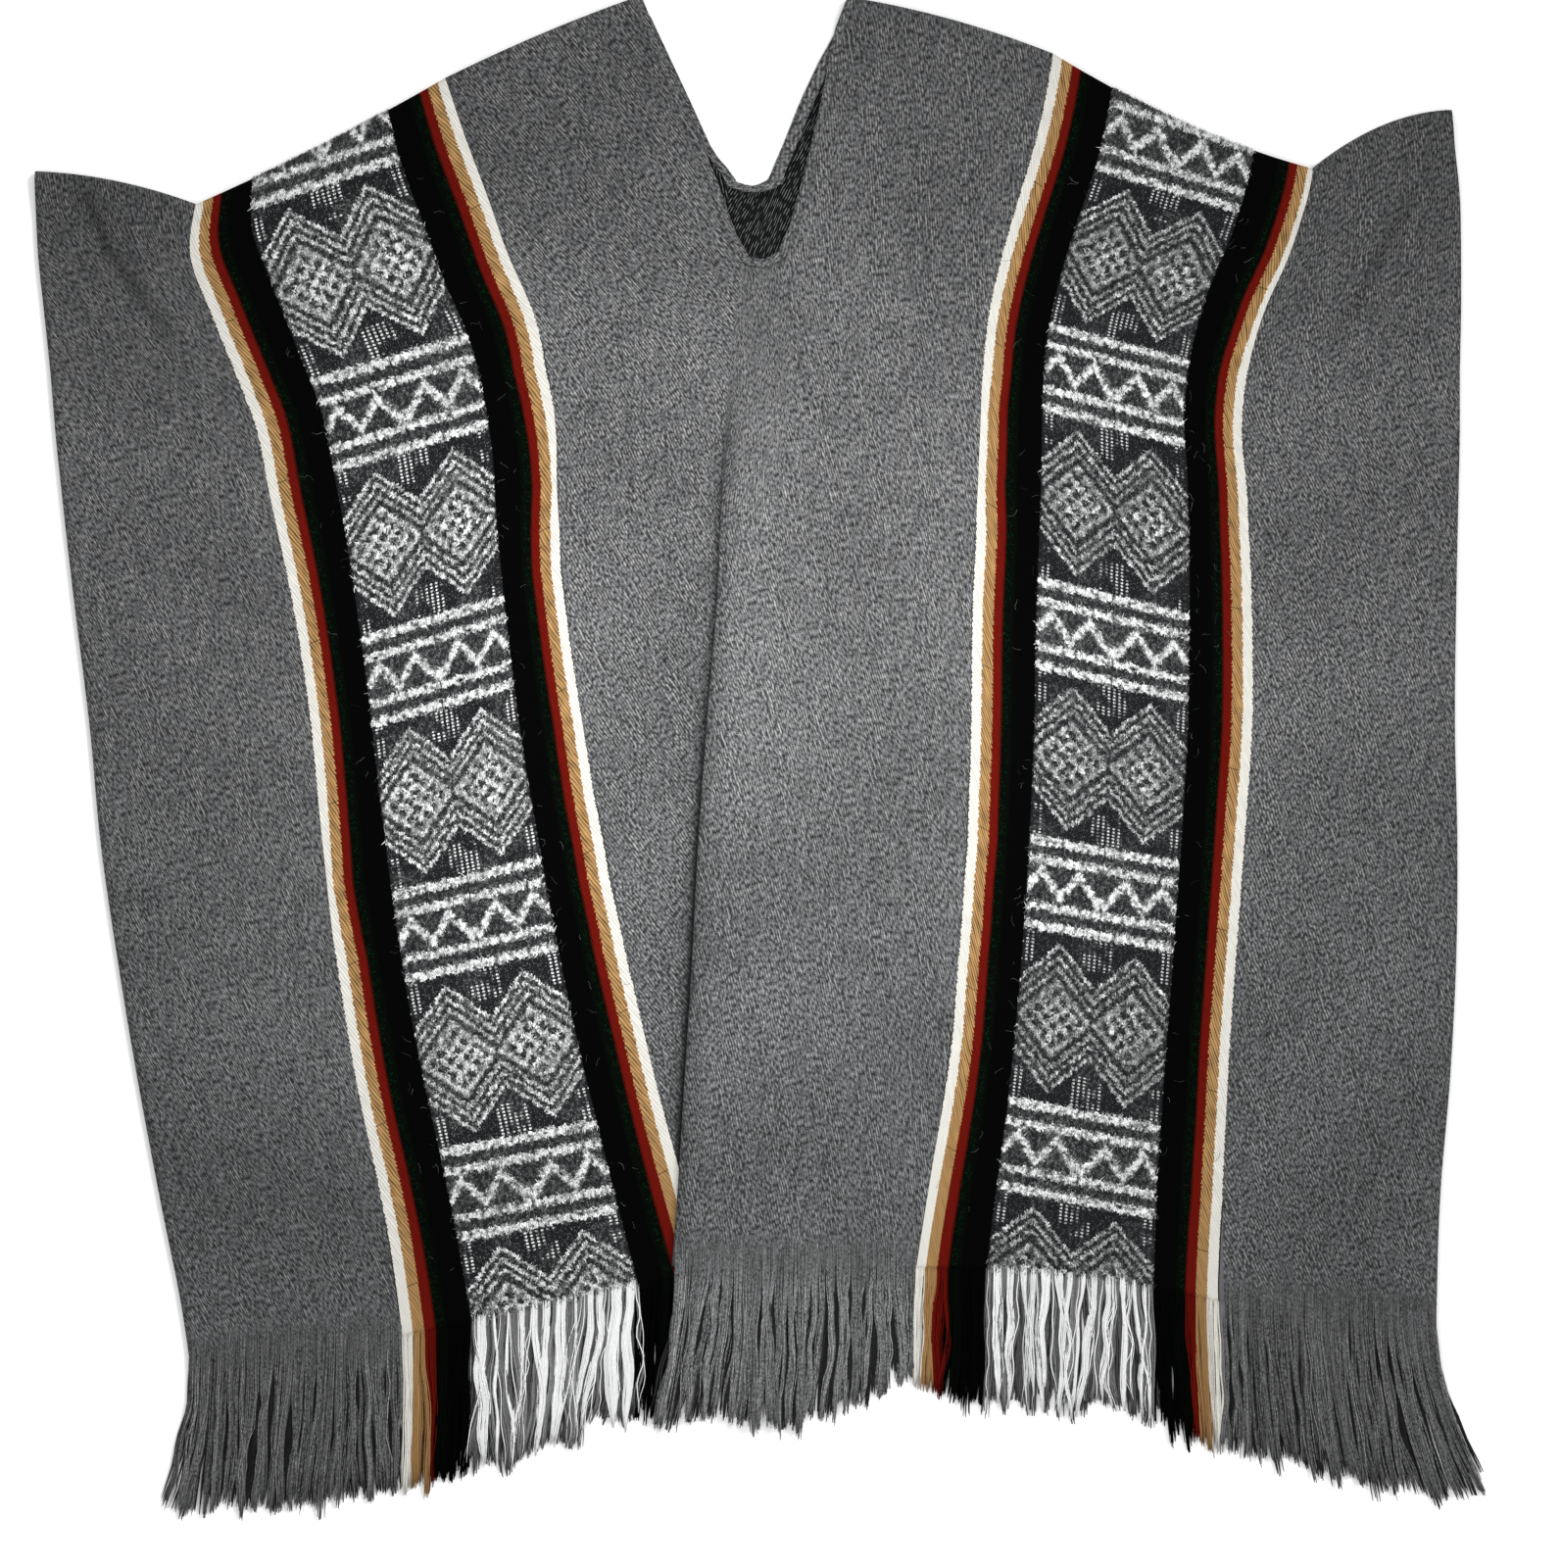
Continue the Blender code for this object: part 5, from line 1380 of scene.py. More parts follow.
SEED_STEP = 7.3         # how far apart two seeds lie in the same noise
SOFT = (0.06, 0.10)     # sheen and specular of the grey wool
CORDED = (0.0, 0.02)    # of the stripes
MATT = (0.0, 0.05)      # of the wrong side and of single hairs
BRUSHED = (0.03, 0.05)  # of the pattern
FLUFFY = (0.05, 0.05)   # of its loose fibres
ROUGHNESS = 0.95
SHEEN_ROUGHNESS = 0.6
RAMP_SPAN = 0.25        # share of a band that its ramps cover

# ---- cloth shading --------------------------------------------------------------------------------
# Lean of the floats from the warp, their pitch across it, their length, and the seed of their noise.
Twill = collections.namedtuple("Twill", "lean pitch length seed")
FACE_TWILL = Twill(math.radians(20), 2.0, 3.8, 3.0)
HEM_TWILL = Twill(math.radians(12), 2.0, 3.8, 17.0)
WRONG_TWILL = Twill(math.radians(-12), 2.1, 6.5, 13.0)
CORDS = Twill(math.radians(24), 2.1, 14.0, 41.0)

GREY = (0.0815, 0.0826, 0.0812)
GREY_COOL = (0.0738, 0.0756, 0.0776)
YARN_GREY = (0.1210, 0.1222, 0.1205)
YARN_COOL = (0.1060, 0.1090, 0.1140)
WRONG_DARK = (0.0014, 0.0016, 0.0016)
WRONG_LIGHT = (0.0980, 0.1030, 0.0990)
WHITE = (0.430, 0.420, 0.385)
TAN = (0.205, 0.119, 0.048)
RED = (0.0740, 0.0034, 0.0018)
RED_DARK = (0.0360, 0.0016, 0.0010)
GREEN = (0.0006, 0.0013, 0.0007)
GREEN_SPECK = (0.0012, 0.0110, 0.0022)
BLACK = (0.0005, 0.0005, 0.0006)
CHARCOAL = (0.0040, 0.0046, 0.0052)
PATTERN_WHITE = (0.590, 0.596, 0.596)
HAIR_DARK = (0.010, 0.010, 0.011)
HAIR_LIGHT = (0.180, 0.185, 0.180)

# Where the stripes begin, as shares of the band's width from its edge.
TAN_FROM, RED_FROM, GREEN_FROM, BLACK_FROM = 0.036, 0.073, 0.111, 0.147
STRIPE_STOPS = (("white", 0.0, WHITE), ("tan", TAN_FROM, TAN), ("red", RED_FROM, RED),
                ("red_dark", 0.105, RED_DARK), ("green", GREEN_FROM, GREEN),
                ("black", BLACK_FROM, BLACK))
STRIPE_RELIEF = (("white", 0.0, 0.20), ("tan", TAN_FROM, 0.75), ("red", RED_FROM, 0.22),
                 ("green", GREEN_FROM, 0.4), ("black", BLACK_FROM, 0.2))

# Noises on the cloth: features in a millimetre, seed, and its detail where it has any.
GRAIN = (1.2, 14.0)
HEATHER = (0.3, 8.0, 1.0)
STREAKS = (0.13, 52.0)
BROAD = (0.008, 19.0)
CORD_TURNS = (0.1, 28.0)
RAGGED = (1.2, 9.0)
PUFFS = (0.24, 55.0)
SWAY = (0.13, 21.0)
RISE = (0.12, 24.0)
FINE = (1.2, 15.0)
WIGGLE = (0.10, 61.0)
FRAYED = (0.22, 66.0, 1.0)
STRAND_STREAK = (1.0, 3.0)
STRAND_FLECK = (1.0, 6.0)

# Patches: features in a millimetre, seed, the noise above which they lie, and how soft they end.
Patches = collections.namedtuple("Patches", "scale seed edge soft")
CLEAR = Patches(0.06, 10.0, 0.48, 0.14)         # twill that isn't felted
SPECKS = Patches(0.9, 4.0, 0.66, 0.05)          # on the green stripe, within the clouds
CLOUDS = Patches(0.18, 33.0, 0.48, 0.12)
FELT = Patches(0.03, 77.0, 0.60, 0.10)          # on the pattern
GAPS = Patches(0.34, 88.0, 0.50, 0.07)
DOTTED = Patches(0.08, 37.0, 0.44, 0.12)

# Soft changes down or across the cut: where each is half done, half its run, and its amount.
# All but the cooling are painted shade, for how the light falls off across the cloth.
Change = collections.namedtuple("Change", "at run amount")
OUTER = Change(330.0, 150.0, 0.14)      # painted shade: the outer panels are darker, from the middle outwards
SHOULDERS = Change(130.0, 140.0, 0.33)  # so are the shoulders
LOW = Change(720.0, 260.0, 0.13)        # and the cloth near the hem
LOW_LEFT = Change(400.0, 200.0, 0.05)   # and the left panel below the shoulder
LEFT_PANEL = Change(200.0, 100.0, 1.0)
COOLING = Change(560.0, 260.0, 0.75)    # the grey is cooler further down
HEM_FADE = 20.0         # the weave softens over twice this much at the hem
CORDS_END = 850.0       # distance down at which the cords have half gone
CORDS_FADE = 60.0
CORD_STEP = 5.0         # from one turn of a cord to the next, along the stripe
CORD_DRIFT = 3          # how many turns the cords' count strays
CORD_SHADE = (1.2, 1.4) # how much the cords and the floats on them shade
# What steps aside at the cords, in shares of the band; the others are a place, reach and softness.
TAN_STEP = 0.007
WHITE_SWELL = 0.005
RAGGED_SHARE = 0.004
NEAR_RED = (RED_FROM, 0.01, 0.004)
NEAR_TAN = (TAN_FROM, 0.012, 0.004)
ON_GREEN = (0.124, 0.013, 0.006)
DARN_ACROSS = (0.055, 0.018, 0.003)
DARN_SPACING = 131.0    # of the darned spots, which are that share of it long
DARN_LENGTH = (0.007, 0.002)
DARN_START = 0.35
DARN_SHADE = 0.6
STITCH_LINE = 5.3       # distance of the hem's stitches from its edge
STITCH_STEP = 3.2


WOBBLE = (0.09, 1.3)            # features in a millimetre, and how far the ridges stray
FLOATS = (1.05, 5)              # floats to a ridge, and what their seed has more than the wobble's
RIDGE_DEPTH = (0.55, 0.75)      # how the ridges shade where they're felted, and what they gain
FLOAT_DEPTH = (1.2, 3.9)        # how the floats do in the furrows, and what they gain on ridges
TWILL_SHADE = (0.98, 0.88, 1.8, 0.15)   # middle, contrast, grain and darkest of its shade


def twill(u, v, kind):
    """Height of the twill's ridges, and how bright its floats are along them; both about 0.5."""
    wobble = spread(u, v, WOBBLE[0], kind.seed) * WOBBLE[1]
    across = u * math.cos(kind.lean) - v * math.sin(kind.lean) + wobble
    along = u * math.sin(kind.lean) + v * math.cos(kind.lean)
    ridge = across.wave(kind.pitch).above(0.5, 0.5)
    floats = noise(across, along * (kind.pitch / kind.length), FLOATS[0] / kind.pitch,
                   kind.seed + FLOATS[1])
    return ridge, floats


def grey_twill(u, v, kind):
    """Ridges of grey twill, its shade, and how clear the ridges are: in patches they're felted."""
    ridge, floats = twill(u, v, kind)
    clear = patches(u, v, CLEAR)
    grain = spread(u, v, *GRAIN)
    drawn = (ridge - 0.5) * clear.raised(*RIDGE_DEPTH) + (floats - 0.5) * ridge.raised(*FLOAT_DEPTH)
    middle, contrast, grained, darkest = TWILL_SHADE
    return ridge, (middle + drawn * contrast + grain * grained).most(darkest), clear


def ground_colour(u, v, shade, clear):
    """Heathered grey; painted shade darkens the outer panels, the shoulders and the cloth near the hem.
    """
    heather = spread(u, v, *HEATHER)
    streaks = spread(u, v * 0.3, *STREAKS)
    broad = spread(u, v, *BROAD)
    tone = 1 + heather * 0.5 + streaks * 0.45 + broad * 0.4
    # painted shade, for the light falling off away from the middle of the cloth
    tone *= 1 - (u - CUT_WIDTH / 2).size().above(OUTER.at, OUTER.run) * OUTER.amount
    tone *= 1 - v.below(SHOULDERS.at, SHOULDERS.run) * SHOULDERS.amount
    tone *= 1 - v.above(LOW.at, LOW.run) * LOW.amount
    left = u.below(LEFT_PANEL.at, LEFT_PANEL.run) * v.above(LOW_LEFT.at, LOW_LEFT.run)
    warm = clear * (1 - COOLING.amount * v.above(COOLING.at, COOLING.run))
    return scaled(mix(warm, GREY_COOL, GREY), shade * tone * (1 - left * LOW_LEFT.amount))


def ground_material():
    material, shader = new_material("wool_ground", *SOFT)
    u, v = coordinates(shader, "weave")
    fold, to_hem = coordinates(shader, "band")
    ridge, shade, clear = grey_twill(u, v, FACE_TWILL)
    woven = to_hem.above(HEM_FADE, HEM_FADE)
    # fold is painted shade, in the shoulder creases and along the pleat's edge
    shade = (1 + (shade - 1) * woven.raised(0.50, 0.50)) * (1 - fold)
    paint(shader, ground_colour(u, v, shade, clear), ridge, 0.6, 0.5)
    return material


def stripe_material():
    """Corded stripes; from one turn of the cords to the next, the white and the tan step aside."""
    material, shader = new_material("wool_stripes", *CORDED)
    u, v = coordinates(shader, "weave")
    share, _ = coordinates(shader, "band")
    cord, streak = twill(u, v, CORDS)
    edge = share.least(1 - share)
    corded = v.below(CORDS_END, CORDS_FADE)
    turns = v / CORD_STEP + noise(v, 0.0, *CORD_TURNS) * CORD_DRIFT
    steps = turns.part() * corded * TAN_STEP
    swell = (turns + 0.3).wave(1.0) * corded * WHITE_SWELL
    ragged = spread(u * 0.3, v, *RAGGED) * RAGGED_SHARE
    here = edge + ragged - steps * edge.near(*NEAR_RED) - swell * edge.near(*NEAR_TAN)
    outside = scaled(GREY, (swell * 150).most(edge.below(-0.003, 0.001)))
    stripe = mix((edge - swell).below(0.0012, 0.0008), stepped(here, STRIPE_STOPS), outside)
    specks = patches(u, v * 0.7, SPECKS)
    clouds = patches(u, v, CLOUDS)
    stripe = mix(edge.near(*ON_GREEN) * specks * clouds, stripe, GREEN_SPECK)
    relief = Field(stepped(here, STRIPE_RELIEF)) * corded.raised(0.3, 0.7)
    darned = (v / DARN_SPACING + DARN_START).part().below(*DARN_LENGTH) * edge.near(*DARN_ACROSS)
    tone = 1 + ((cord - 0.5) * CORD_SHADE[0] + (streak - 0.5) * CORD_SHADE[1]) * relief
    height = cord * edge.below(RED_FROM, 0.004) * corded.raised(0.2, 0.8)
    paint(shader, scaled(stripe, tone * (1 - darned * DARN_SHADE)), height, 0.6, 0.4)
    return material


# ---- the charted pattern, in millimetres across the band and down the warp --------------------------
Row = collections.namedtuple("Row", "level half light")
ROWS_AT = (Row(34.4, 3.3, 1.0), Row(18.8, 3.1, 0.95))
ROWS_REACH = 37.0       # how far the rows' own ground goes from the middle of the zigzag
ROWS_GROUND = 0.052
ZIGZAG_PERIOD = 30.0
ZIGZAG_SWING = 10.0
ZIGZAG_START = 3.5
ZIGZAG_LEVEL = 15.5
DIAMOND_CENTRE = 30.5
DIAMOND_SIZE = (58.0, 60.0)
DIAMOND_GROUND = 0.055
ZIGZAG_LINES = (        # reach from its middle line, softness, brightness
    (4.6, 1.4, 0.95),
    (8.5, 2.5, 0.13),
)
OUTLINE_PITCH = 0.15    # the outlines, as shares of the diamond
OUTLINE_HALF = (0.22, 0.08)     # half width and softness, in pitches
OUTLINE_LIGHT = (0.08, 0.74)    # brightness in the middle, and what it gains to the outline
OUTLINE_OUTER = 0.965
OUTLINE_INNER = 0.60
NET_OUTLINE = (0.47, 0.05, 0.03)    # place, half width and softness
NET_OUTLINE_LIGHT = 0.62
NET_HOLE = (0.125, 0.06)        # square of the holes' radius in pitches, and its softness
NET_LIGHT = (0.80, -0.79)       # brightness, and its change in a hole
NET_EDGE = 0.40
NET_PITCH = 13.0
DOT_PITCH = (4.2, 2.8)
DOT_SHAPE = (3.0, 2.2)          # how fast a dot ends across the band and down it
DOT_EDGE = (0.20, 0.10)
DOTS_RING = (1.09, 0.03)        # where dots lie: off the diamonds and the rows, by the edges or
DOTS_FROM = (39.5, 0.5)         # the middle of the band, and not further than this from the rows
DOTS_MIDDLE = (12.0, 0.5)
DOTS_EDGES = (50.0, 0.5)
DOTS_TO = (64.0, 2.0)
STROKE_PITCH = 1.9
STROKE_LENGTH = 3.4
UNEVEN = 2.5            # how far the diamonds' netted middles stray
RIGHT_WORN = 0.36       # how much duller the right band's diamonds are
WORN_FROM = 38.0        # distance from the middle of the zigzag row at which that begins
PATTERN_HALF = BAND_WIDTH * (0.5 - PATTERN_START)
FRAY = 7.0              # how raggedly the pattern's yarn ends against the black
SWING = 4.6             # how far its strokes stray, either way
PUFF_DEPTH = 2.9
STROKE_SHADE = (0.46, 0.72)     # brightness of the dullest stroke, and what the others gain
STROKE_ROUND = (0.66, 0.44)     # brightness at a stroke's sides, and what its middle gains
FELT_SHADE = (0.30, 0.04)       # what felt takes from the light and adds to the dark
GAP_SHADE = 0.80                # what the gaps take from the dark between the strokes
CENTRE_LINE = (0.55, 0.4)       # half width and softness of the dark line down the middle
CENTRE_LINE_RUN = (27.0, 13.0, 2.0)     # and where it shows, from the zigzag row
CENTRE_LINE_STRAY = 3.0
CENTRE_LINE_SHADE = 0.9


def strokes(across, along, seed):
    """Rows of yarn floats: their middle along the warp, rounded profile and a number of their own."""
    column = (across / STROKE_PITCH).floor()
    shift = chance(column, 0.0, seed)
    place = along / STROKE_LENGTH + shift
    row = place.floor()
    x = (across / STROKE_PITCH).part() - 0.5
    y = place.part() - 0.5
    ridge = 1 - x * x * 4
    end = y * y * 4
    own = chance(column, row, seed + 0.5)
    return (row + 0.5 - shift) * STROKE_LENGTH, ridge * ridge * (1 - end * end), own


def from_zigzag(phase):
    """Distance down the warp from the middle of the nearest zigzag row."""
    return phase.math("WRAP", REPEAT / 2, -REPEAT / 2)


def chart_places(across, phase):
    """Where a point lies in a repeat: aside, either way from the zigzag row, and in the diamond.

    `across` is its distance from the band's middle; the place in the diamond is 0 in its middle and
    1 on its outline.
    """
    aside, level = across.size(), from_zigzag(phase).size()
    x, y = (aside - DIAMOND_CENTRE).size(), REPEAT / 2 - level
    return aside, level, x / DIAMOND_SIZE[0] + y / DIAMOND_SIZE[1]


def chart(across, phase, uneven=0.0):
    """Brightness of the woven pattern, with its diamonds' netted middles `uneven` mm off."""
    aside, level, ring = chart_places(across, phase)
    light = level.below(ROWS_REACH, 1.0) * ROWS_GROUND
    for row in ROWS_AT:
        light = light.most(level.near(row.level, row.half, 1.0) * row.light)
    turns = (aside - ZIGZAG_START).most(0.0).wave(ZIGZAG_PERIOD)
    off = (from_zigzag(phase) - (ZIGZAG_SWING - turns * 2 * ZIGZAG_SWING)).size()
    inside = level.below(ZIGZAG_LEVEL, 0.8)
    for reach, soft, bright in ZIGZAG_LINES:
        light = light.most(off.below(reach, soft) * inside * bright)

    start = OUTLINE_OUTER - OUTLINE_PITCH / 2
    nested = (((ring - start) / OUTLINE_PITCH).part() - 0.5).size()
    lines = nested.below(*OUTLINE_HALF) * ring.below(1.005, 0.012) * ring.above(OUTLINE_INNER, 0.01)
    light = light.most(lines * ring.raised(*OUTLINE_LIGHT))
    light = light.most(ring.below(1.0, 0.02) * DIAMOND_GROUND)
    light = light.most(ring.near(*NET_OUTLINE) * NET_OUTLINE_LIGHT)
    x = aside - DIAMOND_CENTRE + uneven
    y = REPEAT / 2 - level - uneven * 0.7
    first = ((x + y) / NET_PITCH).part() - 0.5
    second = ((x - y) / NET_PITCH).part() - 0.5
    hole = (first * first + second * second).below(*NET_HOLE)
    return light.most(ring.below(NET_EDGE, 0.04) * hole.raised(*NET_LIGHT))


def dots(across, phase):
    """Small white dots on the charcoal above and below the diamonds."""
    aside, level, ring = chart_places(across, phase)
    field = ring.above(*DOTS_RING) * level.above(*DOTS_FROM)
    here = aside.below(*DOTS_MIDDLE).most(aside.above(*DOTS_EDGES)) * level.below(*DOTS_TO)
    x = (aside / DOT_PITCH[0]).part() - 0.5
    y = (level / DOT_PITCH[1]).part() - 0.5
    return field * here * (x * x * DOT_SHAPE[0] + y * y * DOT_SHAPE[1]).below(*DOT_EDGE)


def in_diamonds(phase):
    """1 in the tall part of the repeat with the diamonds, 0 in the zigzag row."""
    return from_zigzag(phase).size().above(WORN_FROM, 2.0)


def pattern_puffs(across, phase):
    """How thick and bright the pattern's yarn stands, in puffs of a few millimetres."""
    return spread(across, phase, *PUFFS) * PUFF_DEPTH + 1


def pattern_light(share, phase):
    """Brightness of the patterned band: the chart drawn in short brushed strokes of yarn."""
    across = (share - 0.5) * BAND_WIDTH
    sway = spread(across, phase, *SWAY) * SWING
    rise = spread(across, phase, *RISE) * SWING
    down, profile, own = strokes(across + sway, phase + rise, 31.0)
    puffs = pattern_puffs(across, phase)
    drawn = chart(across + sway * 0.8, down - rise, (puffs - 1) * UNEVEN)
    light = drawn * own.raised(*STROKE_SHADE) * profile.raised(*STROKE_ROUND) * puffs
    felt = patches(across, phase, FELT)
    light = light * (1 - felt * FELT_SHADE[0]) + felt * FELT_SHADE[1]
    fine = spread(across, phase * 0.6, *FINE) * 1.5 + 0.5
    gaps = patches(across, phase * 0.7, GAPS)
    light = light * fine.most(0.0).raised(0.26, 1.45) + (fine - 0.56).most(0.0) * 0.34
    light = light * (1 - gaps * drawn.below(0.14, 0.05) * GAP_SHADE)
    dotted = patches(across, phase, DOTTED)
    light = light.most(dots(across, phase) * dotted * fine.raised(0.2, 1.3))
    wiggle = spread(phase, 0.0, *WIGGLE) * CENTRE_LINE_STRAY
    centre_line = (across + wiggle).size().below(*CENTRE_LINE) \
        * from_zigzag(phase).size().near(*CENTRE_LINE_RUN)
    inside = PATTERN_HALF - across.size() - (noise(phase, 0.0, *FRAYED) - 0.35) * FRAY
    return light * (1 - centre_line * CENTRE_LINE_SHADE) * inside.above(0.0, 0.8), profile


def pattern_material():
    material, shader = new_material("wool_pattern", *BRUSHED)
    share, phase = coordinates(shader, "band")
    u, _ = coordinates(shader, "weave")
    light, profile = pattern_light(share, phase)
    worn = u.above(CUT_WIDTH / 2, 1.0) * in_diamonds(phase) * RIGHT_WORN
    paint(shader, mix(light * (1 - worn), CHARCOAL, PATTERN_WHITE), profile, 0.6, 0.6)
    return material


def wrong_side_material():
    material, shader = new_material("wool_wrong_side", *MATT)
    ridge, floats = twill(*coordinates(shader, "weave"), WRONG_TWILL)
    clear = ridge.above(0.78, 0.22) * floats.above(0.52, 0.09).raised(0.10, 0.90)
    paint(shader, mix(clear, WRONG_DARK, WRONG_LIGHT), ridge, 0.6, 0.5)
    return material


def hem_material():
    """The same twill turned in, with a line of stitches along it."""
    material, shader = new_material("wool_hem", *SOFT)
    u, v = coordinates(shader, "weave")
    ridge, shade, clear = grey_twill(u, v, HEM_TWILL)
    stitch = u.near(STITCH_LINE, 0.3, 0.2) * (v / STITCH_STEP).part().below(0.62, 0.05)
    colour = scaled(mix(clear, GREY_COOL, GREY), shade * (0.85 - stitch * 0.4))
    paint(shader, colour, ridge - stitch * 1.5, 0.5, 0.5)
    return material


# ---- yarn shading -----------------------------------------------------------------------------------
# Painted shade of a strand at the bottom of the pile and on the cloth, how much the strands differ,
# and how much one varies along its length.
YarnShade = collections.namedtuple("YarnShade", "low root differ mottle")
GREY_SHADE = YarnShade(0.03, 0.82, 0.62, 2.2)
STRIPED_SHADE = YarnShade(0.50, 1.0, 0.26, 0.5)
# painted shade of a strand at the top of the pile, lighter than its colour
TOP_SHADE = 1.22
FUSED = (9.0, 14.0)     # distance below the hem over which the fringe is still one with the cloth


def yarn_shade(shader, kind):
    """Painted pile shade of a strand, times its own tone; its own number and the tone of its clump."""
    strand, down = coordinates(shader, "weave")
    depth, clump = coordinates(shader, "pile")
    crown, _ = coordinates(shader, "round")
    _, dark = coordinates(shader, "band")
    own = chance(strand, 0.0, 2.0)
    streak = spread(strand, down * 0.07, *STRAND_STREAK)
    fleck = spread(strand * 3.1, down * 0.5, *STRAND_FLECK)
    fused = down.below(*FUSED)
    # painted shade: darker deep in the pile, at the strand's sides and in the darker outer stretches
    deep = (kind.low + (TOP_SHADE - kind.low) * depth) * crown.raised(0.76, 0.32)
    lit = fused * kind.root * (1 - dark * 0.45) + (1 - fused) * deep * (1 - dark)
    varied = 1 + (own * 1.2 - 0.6 + streak) * kind.differ * (1 - fused * 0.6) + fleck * kind.mottle
    return lit * varied.most(0.1), own, clump


def grey_yarn_material():
    material, shader = new_material("wool_yarn_grey", *SOFT)
    shade, own, clump = yarn_shade(shader, GREY_SHADE)
    paint(shader, scaled(mix(own, YARN_COOL, YARN_GREY), shade * clump.raised(0.84, 0.32)))
    return material


def striped_yarn_material():
    """Yarn of a band: its stripes' colours, and white or grey clumps where the pattern ends."""
    material, shader = new_material("wool_yarn_striped", *CORDED)
    share, _ = coordinates(shader, "band")
    shade, own, clump = yarn_shade(shader, STRIPED_SHADE)
    edge = share.least(1 - share)
    stripe = stepped(edge + (own - 0.5) * 0.005, STRIPE_STOPS)
    stripe = mix(edge.below(0.0, 0.001), stripe, YARN_GREY)
    patterned = edge.above(PATTERN_START, 0.001)
    white = clump.above(LEAF_TONE, 0.02)
    mixed = mix(white, scaled(GREY, own.raised(0.9, 1.0)), PATTERN_WHITE)
    # the painted pile shade is softened on the stripes and the white locks, and the stripes' yarn is
    # lighter
    smooth = (1 - patterned * (1 - white)) * 0.60
    shade = (shade * (1 - smooth) + smooth) * (1.16 - patterned * 0.16)
    paint(shader, scaled(mix(patterned, stripe, mixed), shade))
    return material


def fibre_material(side, worn):
    """Loose fibres of the pattern, each in the colour of the chart where it's rooted."""
    material, shader = new_material("wool_fibre_" + side, *FLUFFY)
    share, phase = coordinates(shader, "band")
    own = chance(*coordinates(shader, "weave"), 2.0)
    across = (share - 0.5) * BAND_WIDTH
    light = chart(across, phase) * pattern_puffs(across, phase).most(0.2)
    tone = (light * own.raised(0.44, 0.60) + own * own * 0.04) * (1 - in_diamonds(phase) * worn)
    paint(shader, mix(tone, CHARCOAL, PATTERN_WHITE))
    return material


def hair_material():
    material, shader = new_material("wool_stray", *MATT)
    own = chance(*coordinates(shader, "weave"), 2.0)
    paint(shader, mix(own, HAIR_DARK, HAIR_LIGHT))
    return material


# ---- stage, in metres -------------------------------------------------------------------------------
KEY_SIZE = 0.5
KEY_PLACE = (0.02, 0.06, 0.5)
KEY_POWER = 4.4
SUN_STRENGTH = 1.35
SUN_ANGLE = math.radians(14)
SUN_FROM = (1.0, 0.55, 1.05)
WORLD_STRENGTH = 0.98
FLOOR_HALF = 6.0
FLOOR_LEVEL = -0.0004
FLOOR_LIGHT = 0.92
FLOOR_SPECULAR = 0.1


def make_floor():
    material, shader = new_material("floor", 0.0, FLOOR_SPECULAR)
    feed(shader, {"Base Color": (FLOOR_LIGHT,) * 3})
    corners = [(x * FLOOR_HALF, y * FLOOR_HALF, FLOOR_LEVEL)
               for x, y in ((-1, -1), (1, -1), (1, 1), (-1, 1))]
    data = bpy.data.meshes.new("floor")
    data.from_pydata(corners, [], [(0, 1, 2, 3)])
    data.materials.append(material)
    add_object("floor", data)


def make_stage():
    make_floor()
    scene = bpy.context.scene
    world = bpy.data.worlds.new("studio")
    world.use_nodes = True
    feed(world.node_tree.nodes["Background"],
         {"Color": (1.0, 1.0, 1.0), "Strength": WORLD_STRENGTH})
    scene.world = world

    light = bpy.data.lights.new("key", "AREA")
    light.shape = "DISK"
    light.size = KEY_SIZE
    light.energy = KEY_POWER
    key = add_object("key", light)
    key.location = KEY_PLACE
    key.visible_camera = False

    light = bpy.data.lights.new("side_light", "SUN")
    light.energy = SUN_STRENGTH
    light.angle = SUN_ANGLE
    sun = add_object("side_light", light)
    sun.rotation_euler = Vector(SUN_FROM).to_track_quat("Z", "Y").to_euler()

    lens = bpy.data.cameras.new("camera")
    lens.sensor_width = SENSOR
    lens.lens = SENSOR * CAMERA_HEIGHT / VIEW_HEIGHT
    camera = add_object("camera", lens)
    camera.location = (VIEW_CENTRE[0] * MM, VIEW_CENTRE[1] * MM, CAMERA_HEIGHT * MM)
    scene.camera = camera
    scene.view_settings.view_transform = "Standard"


# ---- the poncho -------------------------------------------------------------------------------------
def register(piece, slot, node=None):
    """Attach a piece to the root body, and hide the part whose solid it replaces. `slot` is not used."""
    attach(piece, "root")
    if node:
        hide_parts(node)


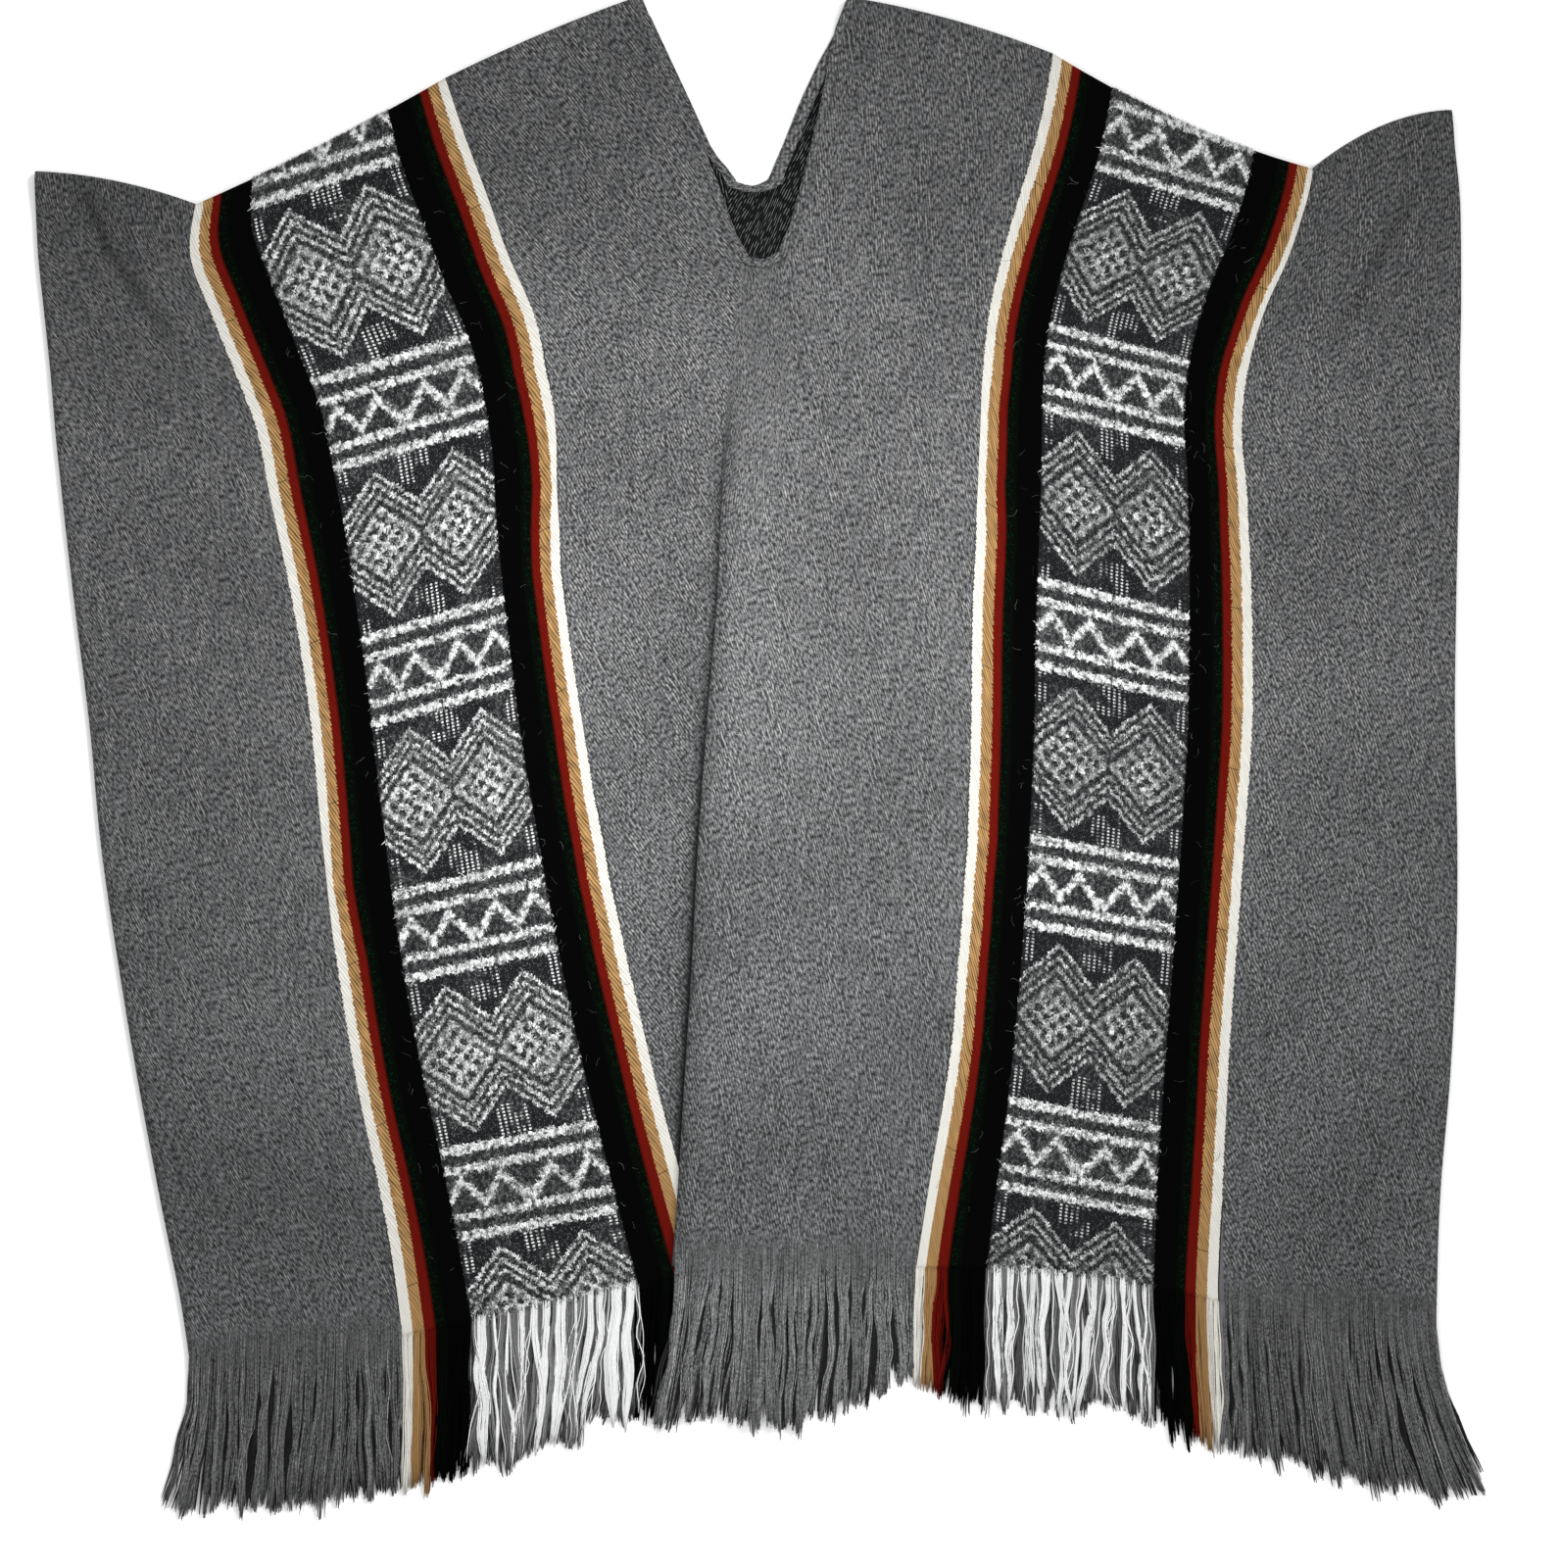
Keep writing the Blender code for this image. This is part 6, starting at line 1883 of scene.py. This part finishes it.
def make_loose_yarn(front):
    """The fibres that stand on the patterned bands, and single hairs all over the front."""
    top = front.grid + cell_normals(front.grid, front.present) * front.walls[..., None] / 2
    inset = sum(steps for _, _, steps in HALF_STRIPES[:-1])
    starts = (PANEL_COLUMNS + inset, front.notch_end + CENTRE_COLUMNS + inset)
    span = len(BAND_SHARES) - 1 - 2 * inset
    made = []
    for side, start, seed, worn in (("left", starts[0], 71, 0.0), ("right", starts[1], 72, RIGHT_WORN)):
        made.append(make_fibres("fibres_" + side, front, top, (start, start + span), seed,
                                fibre_material(side, worn)))
    edges = [start + beside for start in starts
             for beside in (*HAIRS_BEFORE, *(span + after for after in HAIRS_AFTER))]
    plain = [column for column in range(4, front.present.shape[1] - 4)
             if not front.notch - 2 <= column <= front.notch_end + 1]
    hair = hair_material()
    made.append(make_stray_hairs("stray_hairs_bands", top, edges, 220, 73, hair))
    made.append(make_stray_hairs("stray_hairs_cloth", top, plain, 260, 74, hair))
    for piece in made:
        register(piece, "fringe_white")
    return made


def make_poncho():
    cloth = [ground_material(), stripe_material(), pattern_material(), wrong_side_material()]
    wrong = len(cloth) - 1
    front = front_half()
    end = np.vstack((front.grid[0, :front.notch + 1], front.grid[0, front.notch_end:]))

    def meets(x):
        """y at which the front's hidden end starts, where the back has to stop."""
        return np.interp(x, end[:, 0], end[:, 1]) - TUCK_GAP
    back = back_half(meets)
    front_cloth = shell("poncho_front", front, cloth, column_kinds(front), wrong)
    back_cloth = shell("poncho_back", back, cloth, wrong, column_kinds(back))
    front_hem, back_hem = make_hems(hem_material(), meets)
    register(front_cloth, "wool_front", "cloth_front")
    register(back_cloth, "wool_back", "cloth_back")
    register(front_hem, "wool_hem", "neck_hem_front")
    register(back_hem, "wool_hem", "neck_hem_back")
    fringe = make_fringe(front, back, grey_yarn_material(), striped_yarn_material())
    loose = make_loose_yarn(front)

    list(fringe["front"])
    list(fringe["back"])


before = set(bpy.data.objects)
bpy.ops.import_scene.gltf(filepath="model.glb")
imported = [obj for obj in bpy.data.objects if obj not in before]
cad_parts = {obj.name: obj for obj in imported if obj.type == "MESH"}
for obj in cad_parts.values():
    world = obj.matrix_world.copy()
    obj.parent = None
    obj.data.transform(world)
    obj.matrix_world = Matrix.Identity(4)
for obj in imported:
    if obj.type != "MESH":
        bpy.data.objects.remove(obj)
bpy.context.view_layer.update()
make_poncho()
make_stage()
